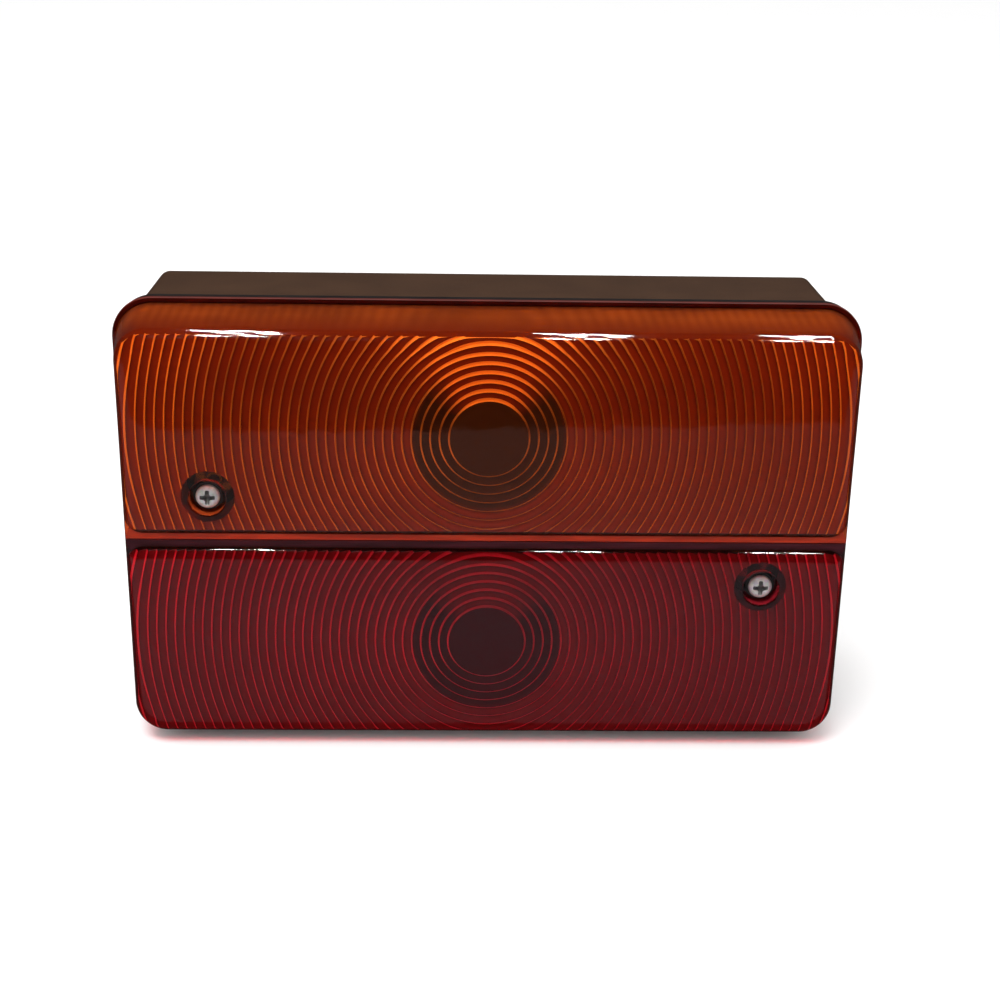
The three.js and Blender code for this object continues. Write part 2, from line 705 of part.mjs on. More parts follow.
// The black glass that closes the cap's end, with a well for each contact.
function bulbInsulator(contactXs) {
  const mouth = CAP_R - CAP_WALL - CAP_EDGE - GAP;
  const front = fromBase(INSULATOR_START);
  const back = fromBase(CAP_START + INSULATOR_DEPTH);
  const seat = fromBase(CAP_START - 0.1);
  const body = solid(turned([
    [0, back],
    [mouth, back],
    [mouth, seat],
    [mouth - 0.6, seat + 0.3],
    [4.6, front],
    [0, front],
  ]));
  const wells = contactXs.map((x) => (
    solid(bar(x, 0, CONTACT_SHANK_R + 0.2, fromBase(CAP_START + 3), front + 1))));
  return geometryOf(cut(body, wells));
}

const bulbContact = () => turned([
  [0, fromBase(CAP_START + 1)],
  [CONTACT_SHANK_R, fromBase(CAP_START + 1)],
  [CONTACT_SHANK_R, fromBase(INSULATOR_START)],
  [CONTACT_R - 0.1, fromBase(INSULATOR_START)],
  [CONTACT_R - 0.5, BULB_BASE_Y],
  [0, BULB_BASE_Y],
], SMALL_STEPS);

const STEM_TOP = 27.5;
const bulbStem = () => turned([
  [0, fromBase(STEM_TOP)],
  [2.2, fromBase(STEM_TOP)],
  [2.6, fromBase(STEM_TOP - 5)],
  [5.2, fromBase(17)],
  [0, fromBase(17)],
], SMALL_STEPS);

// Two lead-in wires and the filament across them, as one bent wire standing on the stem.
function filament(depth, halfSpan, z) {
  const foot = 1.5;
  const [root, height] = [fromBase(STEM_TOP), fromBase(depth)];
  const corner = 0.8;
  const path = new THREE.CurvePath();
  const at = (x, y) => new THREE.Vector3(x, y, z);
  const kneeY = root - 3;
  path.add(new THREE.LineCurve3(at(-foot, root), at(-foot, kneeY)));
  path.add(new THREE.LineCurve3(at(-foot, kneeY), at(-halfSpan, height + corner)));
  path.add(new THREE.LineCurve3(at(-halfSpan, height + corner), at(-halfSpan + corner, height)));
  path.add(new THREE.LineCurve3(at(-halfSpan + corner, height), at(halfSpan - corner, height)));
  path.add(new THREE.LineCurve3(at(halfSpan - corner, height), at(halfSpan, height + corner)));
  path.add(new THREE.LineCurve3(at(halfSpan, height + corner), at(foot, kneeY)));
  path.add(new THREE.LineCurve3(at(foot, kneeY), at(foot, root)));
  return wire(path, 0.3, 36, 5);
}

// ---------------------------------------------------------------- leads, grommet and studs

function lead(points) {
  const corners = points.map((p) => new THREE.Vector3(...p));
  const curve = new THREE.CatmullRomCurve3(corners, false, 'centripetal');
  return wire(curve, LEAD_R, 34, 6);
}

const tailY = discBackY + CONTACT_TAIL + GAP;
const slotOffset = 1.2; // each lead's end, from the cable's axis

const indicatorRoute = [
  [0, tailY, BULB_Z],
  [0, -7.2, BULB_Z],
  [1.6, -4.9, BULB_Z - 0.6],
  [6, LEAD_Y, BULB_Z - 2],
  [24, LEAD_Y, 22],
  [42, LEAD_Y, 10],
  [INDICATOR_LEAD_X, LEAD_Y, 2],
  [INDICATOR_LEAD_X + 0.5, LEAD_Y, -12],
  [49, -5.2, -24],
  [45, -8.5, -31],
  [40.5, -10.2, -31.8],
  [CABLE_X + slotOffset + 0.4, -9.8, CABLE_Z - slotOffset],
  [CABLE_X + slotOffset, LEAD_END_Y, CABLE_Z - slotOffset],
];

const earthRoute = [
  [12.8, LEAD_Y - 2.8, -6.5],
  [16, -6.6, -6.9],
  [22, LEAD_Y, -8.5],
  [31, LEAD_Y, -13],
  [36, -5.4, -18],
  [37.4, -9, -23.5],
  [CABLE_X + slotOffset + 0.2, -10.2, -27],
  [CABLE_X + slotOffset, LEAD_END_Y, CABLE_Z + slotOffset],
];

const stopRoute = [
  [CONTACT_OFFSET, tailY, -BULB_Z],
  [CONTACT_OFFSET, -7.2, -BULB_Z],
  [4.6, -4.9, -BULB_Z + 0.4],
  [8, LEAD_Y, -28.6],
  [19, LEAD_Y, -28.4],
  [23.5, -5.4, -28.4],
  [27, -7.6, -28.5],
  [31, -10, -28.7],
  [34, -9.9, CABLE_Z + slotOffset],
  [CABLE_X - slotOffset, LEAD_END_Y, CABLE_Z + slotOffset],
];

const tailRoute = [
  [-CONTACT_OFFSET, tailY, -BULB_Z],
  [-CONTACT_OFFSET, -7.2, -BULB_Z],
  [-2.4, -4.9, -BULB_Z - 1],
  [1, LEAD_Y, -32.2],
  [19, LEAD_Y, -31.8],
  [23.5, -5.4, -31.7],
  [27, -7.6, -31.5],
  [31, -10, -31.4],
  [34, -9.9, CABLE_Z - slotOffset],
  [CABLE_X - slotOffset, LEAD_END_Y, CABLE_Z - slotOffset],
];

const grommet = () => turned([
  [GROMMET_BORE_R, GROMMET_INNER_Y],
  [GROMMET_R - 1.2, GROMMET_INNER_Y],
  [GROMMET_R, CABLE_PAD_Y - 0.4],
  [GROMMET_R, CABLE_PAD_Y],
  [GROMMET_NECK_R, CABLE_PAD_Y],
  [GROMMET_NECK_R, -GROMMET_POCKET],
  [GROMMET_R, -GROMMET_POCKET],
  [GROMMET_R, -0.8],
  [GROMMET_R - 0.6, -0.2],
  [GROMMET_BORE_R, -0.2],
  [GROMMET_BORE_R, GROMMET_INNER_Y],
]);

function mountingStud() {
  const headFront = STUD_POCKET_Y - STUD_HEAD;
  const head = solid(slab(hexagon(STUD_HEAD_FLATS), headFront, STUD_POCKET_Y));
  const shank = solid(turned([
    [0, headFront + 1],
    [STUD_R, headFront + 1],
    [STUD_R, STUD_LENGTH - 1],
    [STUD_R - 0.9, STUD_LENGTH],
    [0, STUD_LENGTH],
  ], STEPS));
  return geometryOf(join([head, shank]));
}

const plainWasher = () => ring(STUD_R + GAP, WASHER_R, 0, WASHER_THICKNESS);

function springWasher() {
  const from = WASHER_THICKNESS;
  const whole = solid(ring(STUD_R + GAP, SPRING_WASHER_R, from, from + SPRING_WASHER_THICKNESS));
  const split = solid(block([STUD_R - 1, SPRING_WASHER_R + 1], [from - 1, from + 3], [-0.4, 0.4]));
  return geometryOf(cut(whole, [split]));
}

function mountingNut() {
  const from = WASHER_THICKNESS + SPRING_WASHER_THICKNESS;
  const body = solid(slab(hexagon(STUD_HEAD_FLATS), from, from + NUT_THICKNESS));
  const bore = solid(bar(0, 0, STUD_R + GAP, from - 1, from + NUT_THICKNESS + 1));
  return geometryOf(cut(body, [bore]));
}

// ---------------------------------------------------------------- assembly

add('housing', housing(), blackPlastic);
add('lens_gasket', gasket(), blackRubber);

const lens = wholeLens();
add('amber_lens', lensSection(lens, 1), amberPlastic);
add('red_lens', lensSection(lens, -1), redPlastic);

[['amber', screwPlaces[0]], ['red', screwPlaces[1]]].forEach(([section, [x, z]]) => {
  add(`${section}_lens_screw`, lensScrew(), zincSteel, x, z);
  add(`${section}_screw_seal`, screwSeal(), blackRubber, x, z);
});

const sockets = [
  { name: 'indicator', z: BULB_Z, contacts: { '': 0 }, pinOffsets: [0, 0] },
  {
    name: 'stop_tail',
    z: -BULB_Z,
    contacts: { stop: CONTACT_OFFSET, tail: -CONTACT_OFFSET },
    pinOffsets: [0, PIN_OFFSET],
  },
];

for (const { name, z, contacts, pinOffsets } of sockets) {
  const xs = Object.values(contacts);
  add(`${name}_socket_shell`, socketShell(pinOffsets.map((p) => fromBase(PIN_FROM_BASE + p))),
    nickelBrass, 0, z);
  add(`${name}_contact_disc`, contactDisc(xs), phenolic, 0, z);
  add(`${name}_socket_spring`, socketSpring(), springSteel, 0, z);
  add(`${name}_bulb_glass`, bulbGlass(), clearGlass, 0, z);
  add(`${name}_bulb_cap`, bulbCap(pinOffsets), nickelBrass, 0, z);
  add(`${name}_bulb_insulator`, bulbInsulator(xs), vitrite, 0, z);
  add(`${name}_bulb_stem`, bulbStem(), clearGlass, 0, z);
  for (const [circuit, x] of Object.entries(contacts)) {
    const label = circuit || name;
    add(`${label}_socket_contact`, socketContact(), brass, x, z);
    add(`${label}_bulb_contact`, bulbContact(), solder, x, z);
  }
}
add('indicator_filament', filament(38.5, 4.5, 0), tungsten, 0, BULB_Z);
add('stop_filament', filament(38.5, 4.5, 1.2), tungsten, 0, -BULB_Z);
add('tail_filament', filament(35, 3.8, -1.2), tungsten, 0, -BULB_Z);

add('indicator_outer_rivet', rivet(earFrontY), brass, 0, rivetPlaces[0]);
add('indicator_inner_rivet', rivet(stripFrontY), brass, 0, rivetPlaces[1]);
add('stop_tail_inner_rivet', rivet(stripFrontY), brass, 0, rivetPlaces[2]);
add('stop_tail_outer_rivet', rivet(earFrontY), brass, 0, rivetPlaces[3]);
add('earth_strip', earthStrip(), brass);

add('indicator_lead', lead(indicatorRoute), leadGreen);
add('stop_lead', lead(stopRoute), leadRed);
add('tail_lead', lead(tailRoute), leadBrown);
add('earth_lead', lead(earthRoute), leadWhite);
add('cable_grommet', grommet(), blackRubber, CABLE_X, CABLE_Z);

[['left', studPlaces[0]], ['right', studPlaces[1]]].forEach(([side, [x, z]]) => {
  add(`${side}_mounting_stud`, mountingStud(), zincSteel, x, z);
  add(`${side}_plain_washer`, plainWasher(), zincSteel, x, z);
  add(`${side}_spring_washer`, springWasher(), zincSteel, x, z);
  add(`${side}_mounting_nut`, mountingNut(), zincSteel, x, z);
});

export default light;
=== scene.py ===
"""The looks of a two-colour trailer tail light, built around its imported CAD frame.

Lengths are in millimetres in the shared frame (the lens faces -Y, +Z is up, the origin is the centre of the
back face) and become metres where a mesh is made. A finely made piece stands in for each CAD node.
"""

import json
from math import asin, cos, degrees, hypot, pi, radians, sin, sqrt

import bmesh
import bpy
from mathutils import Matrix, Quaternion, Vector


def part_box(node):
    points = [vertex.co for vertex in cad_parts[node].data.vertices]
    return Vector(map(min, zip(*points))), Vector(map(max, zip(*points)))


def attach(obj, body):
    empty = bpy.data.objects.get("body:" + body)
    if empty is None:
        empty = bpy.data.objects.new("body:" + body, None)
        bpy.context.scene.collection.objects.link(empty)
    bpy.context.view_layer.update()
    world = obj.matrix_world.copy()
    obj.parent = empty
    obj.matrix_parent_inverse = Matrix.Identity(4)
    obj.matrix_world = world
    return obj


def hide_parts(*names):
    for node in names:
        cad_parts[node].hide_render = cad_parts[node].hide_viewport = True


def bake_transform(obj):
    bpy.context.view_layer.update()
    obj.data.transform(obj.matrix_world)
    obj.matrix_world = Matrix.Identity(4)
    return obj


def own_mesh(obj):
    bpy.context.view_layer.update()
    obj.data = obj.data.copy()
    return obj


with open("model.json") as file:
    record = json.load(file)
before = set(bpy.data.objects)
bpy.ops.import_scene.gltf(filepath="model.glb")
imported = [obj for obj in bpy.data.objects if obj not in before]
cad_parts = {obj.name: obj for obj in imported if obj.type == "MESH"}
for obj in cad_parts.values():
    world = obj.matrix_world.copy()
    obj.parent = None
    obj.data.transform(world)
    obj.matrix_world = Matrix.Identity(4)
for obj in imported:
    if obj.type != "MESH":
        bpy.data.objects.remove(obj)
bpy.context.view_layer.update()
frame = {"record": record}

MM = 0.001
TURN = 2 * pi
BODY_OF = {node: body for body, nodes in frame["record"]["behaviour"]["bodies"].items() for node in nodes}


# ---------------------------------------------------------------- sizes taken from the frame


def corners(node):
    """The lowest and highest corner of a CAD node, in millimetres."""
    low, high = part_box(node)
    return low / MM, high / MM


def axis_of(node):
    """The x and z of the middle of a round CAD node whose axis runs along Y."""
    low, high = corners(node)
    return (low.x + high.x) / 2, (low.z + high.z) / 2


AMBER_LOW, AMBER_HIGH = corners("amber_lens")
HALF_WIDTH = AMBER_HIGH.x
HALF_HEIGHT = AMBER_HIGH.z
FACE_Y = AMBER_LOW.y
RIM_Y = AMBER_HIGH.y
SEAM_GAP = AMBER_LOW.z
FLANGE_FRONT_Y = corners("lens_gasket")[1].y
AMBER_SCREW = axis_of("amber_lens_screw")
RED_SCREW = axis_of("red_lens_screw")
BULB_Z = axis_of("indicator_bulb_cap")[1]


# ---------------------------------------------------------------- mesh tools


def tidy(obj):
    """Merges doubled points and turns every face outwards."""
    work = bmesh.new()
    work.from_mesh(obj.data)
    bmesh.ops.remove_doubles(work, verts=work.verts, dist=1e-7)
    bmesh.ops.recalc_face_normals(work, faces=work.faces)
    work.to_mesh(obj.data)
    work.free()
    return obj


def make(name, points, faces):
    mesh = bpy.data.meshes.new(name)
    mesh.from_pydata([Vector(p) * MM for p in points], [], faces)
    obj = bpy.data.objects.new(name, mesh)
    bpy.context.scene.collection.objects.link(obj)
    return tidy(obj)


def skin(rows, around):
    """The faces over rows of points, each with the same number of points around, and over both ends."""
    faces = [list(range(around)), list(range((rows - 1) * around, rows * around))]
    for row in range(rows - 1):
        base = row * around
        for i in range(around):
            j = (i + 1) % around
            faces.append([base + i, base + j, base + around + j, base + around + i])
    return faces


def loft(name, levels):
    """A closed solid through outlines of (x, z) points, each at its own y."""
    points = [(x, y, z) for y, outline in levels for x, z in outline]
    return make(name, points, skin(len(levels), len(levels[0][1])))


def lathe(name, profile, x=0.0, z=0.0, segments=64):
    """A closed solid turned about the Y axis through x, z from its (radius, y) outline."""
    def circle(radius):
        return [(x + radius * cos(TURN * i / segments), z + radius * sin(TURN * i / segments))
                for i in range(segments)]

    points = [(px, y, pz) for radius, y in profile for px, pz in circle(radius)]
    faces = []
    for row in range(len(profile)):
        following = (row + 1) % len(profile)
        if profile[row][0] == 0 and profile[following][0] == 0:
            continue
        for i in range(segments):
            j = (i + 1) % segments
            faces.append([row * segments + i, row * segments + j,
                          following * segments + j, following * segments + i])
    return make(name, points, faces)


def tube(name, path, radius, sides=16):
    """A round wire with flat ends along a list of points, turned as little as possible on the way."""
    path = [Vector(p) for p in path]
    count = len(path)
    ways = [(path[min(i + 1, count - 1)] - path[max(i - 1, 0)]).normalized() for i in range(count)]
    across = ways[0].orthogonal().normalized()
    points = []
    for place, way in zip(path, ways):
        across = (across - way * across.dot(way)).normalized()
        up = way.cross(across)
        points += [place + (across * cos(TURN * i / sides) + up * sin(TURN * i / sides)) * radius
                   for i in range(sides)]
    return make(name, points, skin(count, sides))


def settle(obj):
    """Applies the modifiers, so that the mesh is the final one."""
    graph = bpy.context.evaluated_depsgraph_get()
    mesh = bpy.data.meshes.new_from_object(obj.evaluated_get(graph))
    obj.modifiers.clear()
    obj.data = mesh
    return obj


def combine(obj, others, how):
    """Joins solids to obj (UNION), cuts them from it (DIFFERENCE) or keeps what they share (INTERSECT)."""
    for other in others:
        modifier = obj.modifiers.new("shape", "BOOLEAN")
        modifier.object = other
        modifier.operation = how
        modifier.solver = "MANIFOLD"
    settle(obj)
    for other in others:
        bpy.data.objects.remove(other)
    return obj


def smooth(obj, angle=30):
    obj.data.shade_smooth()
    obj.data.set_sharp_from_angle(angle=radians(angle))
    return obj


def stand_in(obj, node, slot, *materials, angle=30):
    """Finishes a piece that is shown in place of a CAD node."""
    obj.data.materials.clear()
    for paint in materials:
        obj.data.materials.append(paint)
    smooth(obj, angle)
    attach(obj, BODY_OF[node])
    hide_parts(node)
    return obj


def arc(centre, radius, start, end, steps):
    """Points on an arc, both ends included, with angles in degrees."""
    return [(centre[0] + radius * cos(radians(start + (end - start) * i / steps)),
             centre[1] + radius * sin(radians(start + (end - start) * i / steps)))
            for i in range(steps + 1)]


def rounded(x0, x1, z0, z1, radii, steps=14):
    """A rectangle whose four corners (right low, right high, left high, left low) have their own radii."""
    corner = [(x1, z0, -90), (x1, z1, 0), (x0, z1, 90), (x0, z0, 180)]
    outline = []
    for (x, z, start), radius in zip(corner, radii):
        centre = (x + (radius if x == x0 else -radius), z + (radius if z == z0 else -radius))
        outline += arc(centre, radius, start, start + 90, steps)
    return outline


def hexagon(flats, x=0.0, z=0.0):
    corner = flats / 2 / cos(pi / 6)
    return [(x + corner * cos(TURN * i / 6), z + corner * sin(TURN * i / 6)) for i in range(6)]


def block(name, xs, ys, zs):
    """A box used to cut or join."""
    outline = [(xs[0], zs[0]), (xs[1], zs[0]), (xs[1], zs[1]), (xs[0], zs[1])]
    return loft(name, [(ys[0], outline), (ys[1], outline)])


def rod(name, x, z, radius, y0, y1, segments=48):
    return lathe(name, [(0, y0), (radius, y0), (radius, y1), (0, y1)], x, z, segments)


def spline(points, steps):
    """A smooth curve through points, with steps pieces between neighbours."""
    knots = [Vector(p) for p in points]
    knots = [knots[0] * 2 - knots[1]] + knots + [knots[-1] * 2 - knots[-2]]
    curve = []
    for a, b, c, d in zip(knots, knots[1:], knots[2:], knots[3:]):
        t0 = 0.0
        t1 = t0 + (b - a).length ** 0.5
        t2 = t1 + (c - b).length ** 0.5
        t3 = t2 + (d - c).length ** 0.5
        for i in range(steps):
            t = t1 + (t2 - t1) * i / steps
            ab = a * ((t1 - t) / (t1 - t0)) + b * ((t - t0) / (t1 - t0))
            bc = b * ((t2 - t) / (t2 - t1)) + c * ((t - t1) / (t2 - t1))
            cd = c * ((t3 - t) / (t3 - t2)) + d * ((t - t2) / (t3 - t2))
            abc = ab * ((t2 - t) / (t2 - t0)) + bc * ((t - t0) / (t2 - t0))
            bcd = bc * ((t3 - t) / (t3 - t1)) + cd * ((t - t1) / (t3 - t1))
            curve.append(abc * ((t2 - t) / (t2 - t1)) + bcd * ((t - t1) / (t2 - t1)))
    curve.append(knots[-2])
    return curve


def helix(x, z, radius, y0, y1, turns, per_turn=40):
    count = int(turns * per_turn)
    return [(x + radius * cos(TURN * turns * i / count), y0 + (y1 - y0) * i / count,
             z + radius * sin(TURN * turns * i / count)) for i in range(count + 1)]


# ---------------------------------------------------------------- material tools


class Paint:
    """A material being put together from nodes. Textures follow the object's own coordinates."""

    def __init__(self, name):
        self.material = bpy.data.materials.new(name)
        self.material.use_nodes = True
        self.nodes = self.material.node_tree.nodes
        self.links = self.material.node_tree.links
        self.shader = self.nodes["Principled BSDF"]
        self.output = self.nodes["Material Output"]
        self.place = self.nodes.new("ShaderNodeTexCoord").outputs["Object"]

    def set(self, **values):
        for name, value in values.items():
            self.shader.inputs[name.replace("_", " ")].default_value = value

    def link(self, source, target):
        self.links.new(source, target)

    def along(self, axis):
        """How far a point lies along an axis of its object, in metres."""
        node = self.nodes.new("ShaderNodeSeparateXYZ")
        self.link(self.place, node.inputs[0])
        return node.outputs[axis]

    def stretched(self, x, y, z):
        node = self.nodes.new("ShaderNodeMapping")
        node.inputs["Scale"].default_value = (x, y, z)
        self.link(self.place, node.inputs["Vector"])
        return node.outputs["Vector"]

    def noise(self, size, detail=3.0, vector=None, roughness=0.5):
        """Noise whose features are about size millimetres across."""
        node = self.nodes.new("ShaderNodeTexNoise")
        node.inputs["Scale"].default_value = 1 / (size * MM)
        node.inputs["Detail"].default_value = detail
        node.inputs["Roughness"].default_value = roughness
        self.link(vector or self.place, node.inputs["Vector"])
        return node.outputs["Fac"]

    def cells(self, size, output="Color"):
        node = self.nodes.new("ShaderNodeTexVoronoi")
        node.inputs["Scale"].default_value = 1 / (size * MM)
        self.link(self.place, node.inputs["Vector"])
        return node.outputs[output]

    def math(self, operation, a, b=0.0, c=0.0):
        node = self.nodes.new("ShaderNodeMath")
        node.operation = operation
        for socket, value in zip(node.inputs, (a, b, c)):
            if isinstance(value, bpy.types.NodeSocket):
                self.link(value, socket)
            else:
                socket.default_value = value
        return node.outputs[0]

    def ramp(self, factor, stops):
        """Colours between stops of (place, colour)."""
        node = self.nodes.new("ShaderNodeValToRGB")
        elements = node.color_ramp.elements
        while len(elements) < len(stops):
            elements.new(0.5)
        for element, (place, colour) in zip(elements, stops):
            element.position = place
            element.color = (*colour, 1.0)
        self.link(factor, node.inputs["Fac"])
        return node.outputs["Color"]

    def between(self, factor, low, high):
        """A number from low to high as factor goes from 0 to 1."""
        node = self.nodes.new("ShaderNodeMapRange")
        node.inputs["To Min"].default_value = low
        node.inputs["To Max"].default_value = high
        self.link(factor, node.inputs["Value"])
        return node.outputs["Result"]

    def mix(self, factor, a, b, blend="MIX"):
        node = self.nodes.new("ShaderNodeMix")
        node.data_type = "RGBA"
        node.blend_type = blend
        sockets = [node.inputs[0], node.inputs[6], node.inputs[7]]
        for socket, value in zip(sockets, (factor, a, b)):
            if isinstance(value, bpy.types.NodeSocket):
                self.link(value, socket)
            else:
                socket.default_value = (*value, 1.0) if isinstance(value, tuple) else value
        return node.outputs[2]

    def bump(self, height, depth, strength=1.0, under=None):
        """Relief of about depth millimetres."""
        node = self.nodes.new("ShaderNodeBump")
        node.inputs["Distance"].default_value = depth * MM
        node.inputs["Strength"].default_value = strength
        self.link(height, node.inputs["Height"])
        if under is not None:
            self.link(under, node.inputs["Normal"])
        return node.outputs["Normal"]

    def use(self, name, source):
        self.link(source, self.shader.inputs[name])


def plain_surface(name, dark, light, rough, grain, relief, patch=8.0, metallic=0.0, **more):
    """A surface with cloudy colour, uneven gloss and a fine grain."""
    paint = Paint(name)
    paint.set(Metallic=metallic, **more)
    clouds = paint.noise(patch, 4.0)
    paint.use("Base Color", paint.ramp(clouds, [(0.3, dark), (0.7, light)]))
    fine = paint.noise(grain, 4.0)
    paint.use("Roughness", paint.between(fine, *rough))
    paint.use("Normal", paint.bump(fine, relief))
    return paint.material


def turned_metal(name, dark, light, rough, line, relief, along=(1, 14, 1)):
    """Metal with fine drawing or turning marks, uneven gloss and a little tarnish."""
    paint = Paint(name)
    paint.set(Metallic=1.0)
    tarnish = paint.noise(3.5, 5.0, roughness=0.65)
    marks = paint.noise(line, 3.0, vector=paint.stretched(*along))
    paint.use("Base Color", paint.ramp(tarnish, [(0.32, dark), (0.62, light)]))
    blend = paint.math("ADD", paint.math("MULTIPLY", marks, 0.5), paint.math("MULTIPLY", tarnish, 0.5))
    paint.use("Roughness", paint.between(blend, *rough))
    paint.use("Normal", paint.bump(marks, relief))
    return paint.material


# ---------------------------------------------------------------- materials


def black_plastic():
    """Fine spark-eroded grain with faint greyish scuffs."""
    paint = Paint("black_plastic")
    paint.set(Specular_IOR_Level=0.12)
    grain = paint.noise(0.35, 5.0, roughness=0.7)
    cloud = paint.noise(14.0, 5.0)
    scuff = paint.noise(2.2, 6.0, vector=paint.stretched(1, 6, 1), roughness=0.75)
    base = paint.ramp(cloud, [(0.3, (0.045, 0.0195, 0.0080)), (0.75, (0.058, 0.0260, 0.0108))])
    patch = paint.math("MULTIPLY", paint.math("GREATER_THAN", scuff, 0.66), 0.35)
    paint.use("Base Color", paint.mix(patch, base, (0.085, 0.055, 0.038)))
    paint.use("Roughness", paint.between(grain, 0.42, 0.66))
    paint.use("Normal", paint.bump(grain, 0.035))
    return paint.material


def flange_painted_shade():
    """The flange is smoother than the grained box, and painted near-black as painted shade for the dark gap
    between the housing and the lens rim.
    """
    paint = Paint("flange_painted_shade")
    paint.set(Specular_IOR_Level=0.12)
    cloud = paint.noise(9.0, 4.0)
    paint.use("Base Color", paint.ramp(cloud, [(0.3, (0.004, 0.003, 0.003)), (0.7, (0.009, 0.007, 0.006))]))
    paint.use("Roughness", paint.between(cloud, 0.45, 0.7))
    paint.use("Normal", paint.bump(paint.noise(0.5, 3.0), 0.01))
    return paint.material


def rubber():
    return plain_surface("black_rubber", (0.010, 0.010, 0.010), (0.022, 0.021, 0.020),
                         (0.62, 0.9), 0.25, 0.04)


def foam_rubber():
    paint = Paint("foam_rubber")
    pores = paint.cells(0.55, "Distance")
    grain = paint.noise(0.4, 4.0)
    paint.use("Base Color", paint.ramp(pores, [(0.0, (0.004, 0.004, 0.004)), (0.6, (0.024, 0.023, 0.022))]))
    paint.use("Roughness", paint.between(grain, 0.8, 0.98))
    paint.use("Normal", paint.bump(pores, 0.08))
    return paint.material


def zinc(name="zinc_steel", metallic=1.0, shine=1.0):
    """Bright zinc plating with small soft crystals and rubbed high spots."""
    paint = Paint(name)
    paint.set(Metallic=metallic)
    crystals = paint.cells(0.8)
    wear = paint.noise(1.6, 6.0, roughness=0.7)
    stops = [(0.3, (0.44, 0.44, 0.43)), (0.6, (0.66, 0.66, 0.65)), (0.85, (0.78, 0.77, 0.74))]
    base = paint.ramp(wear, [(place, tuple(c * shine for c in colour)) for place, colour in stops])
    paint.use("Base Color", paint.mix(0.16, base, crystals, "MULTIPLY"))
    paint.use("Roughness", paint.between(wear, 0.22, 0.46))
    paint.use("Normal", paint.bump(wear, 0.012))
    return paint.material


def spring_steel():
    return turned_metal("spring_steel", (0.30, 0.30, 0.31), (0.55, 0.55, 0.56), (0.22, 0.42), 0.2, 0.01)


def nickel_brass():
    return turned_metal("nickel_brass", (0.50, 0.47, 0.40), (0.74, 0.72, 0.66), (0.16, 0.38), 0.22, 0.008,
                        (1, 0.1, 1))


def brass():
    return turned_metal("brass", (0.46, 0.30, 0.11), (0.78, 0.57, 0.25), (0.2, 0.42), 0.25, 0.01)


def tungsten():
    return turned_metal("tungsten", (0.16, 0.15, 0.14), (0.36, 0.35, 0.33), (0.3, 0.5), 0.1, 0.004)


def phenolic():
    """Brown laminate with paper flecks, and its layers showing on the edge."""
    paint = Paint("phenolic")
    flecks = paint.noise(0.5, 6.0, roughness=0.75)
    layers = paint.noise(0.3, 2.0, vector=paint.stretched(0.05, 3, 0.05))
    base = paint.ramp(flecks, [(0.35, (0.055, 0.020, 0.009)), (0.65, (0.16, 0.065, 0.028))])
    paint.use("Base Color", paint.mix(paint.math("MULTIPLY", layers, 0.35), base, (0.22, 0.10, 0.045)))
    paint.use("Roughness", paint.between(flecks, 0.35, 0.6))
    paint.use("Normal", paint.bump(flecks, 0.02))
    return paint.material


def black_glass():
    return plain_surface("black_glass", (0.006, 0.006, 0.009), (0.016, 0.014, 0.020),
                         (0.05, 0.2), 0.8, 0.03, patch=2.0)


def solder():
    """Dull tin-lead solder with soft ripples."""
    paint = Paint("solder")
    paint.set(Metallic=1.0)
    ripple = paint.noise(0.7, 3.0)
    paint.use("Base Color", paint.ramp(ripple, [(0.3, (0.36, 0.36, 0.36)), (0.7, (0.62, 0.62, 0.60))]))
    paint.use("Roughness", paint.between(ripple, 0.3, 0.5))
    paint.use("Normal", paint.bump(ripple, 0.05))
    return paint.material


def cable_plastic(name, dark, light):
    return plain_surface(name, dark, light, (0.32, 0.5), 0.5, 0.015, patch=3.0)


def lamp_light_passes(paint, tint):
    """Lets rays from lamps through clear plastic or glass, tinted, so that what is behind it is lit."""
    path = paint.nodes.new("ShaderNodeLightPath")
    clear = paint.nodes.new("ShaderNodeBsdfTransparent")
    clear.inputs["Color"].default_value = (*tint, 1.0)
    chosen = paint.nodes.new("ShaderNodeMixShader")
    paint.link(path.outputs["Is Shadow Ray"], chosen.inputs[0])
    paint.link(paint.shader.outputs[0], chosen.inputs[1])
    paint.link(clear.outputs[0], chosen.inputs[2])
    paint.link(chosen.outputs[0], paint.output.inputs["Surface"])


def clear_glass():
    paint = Paint("clear_glass")
    paint.set(Transmission_Weight=1.0, IOR=1.5, Base_Color=(0.97, 0.99, 0.985, 1.0))
    flow = paint.noise(7.0, 2.0)
    paint.use("Roughness", paint.between(paint.noise(3.0, 4.0), 0.0, 0.03))
    paint.use("Normal", paint.bump(flow, 0.03))
    lamp_light_passes(paint, (0.95, 0.97, 0.96))
    return paint.material


def lens_outside(name, tint):
    """The polished outside of a lens: tinted clear plastic with the faint waviness of a moulding."""
    paint = Paint(name)
    paint.set(Transmission_Weight=1.0, IOR=1.49, Base_Color=(*tint, 1.0), Specular_IOR_Level=0.4)
    waves = paint.noise(9.0, 2.0)
    handling = paint.noise(1.4, 5.0, roughness=0.7)
    paint.use("Roughness", paint.between(handling, 0.012, 0.05))
    paint.use("Normal", paint.bump(waves, 0.035))
    lamp_light_passes(paint, tuple(sqrt(c) for c in tint))
    return paint.material


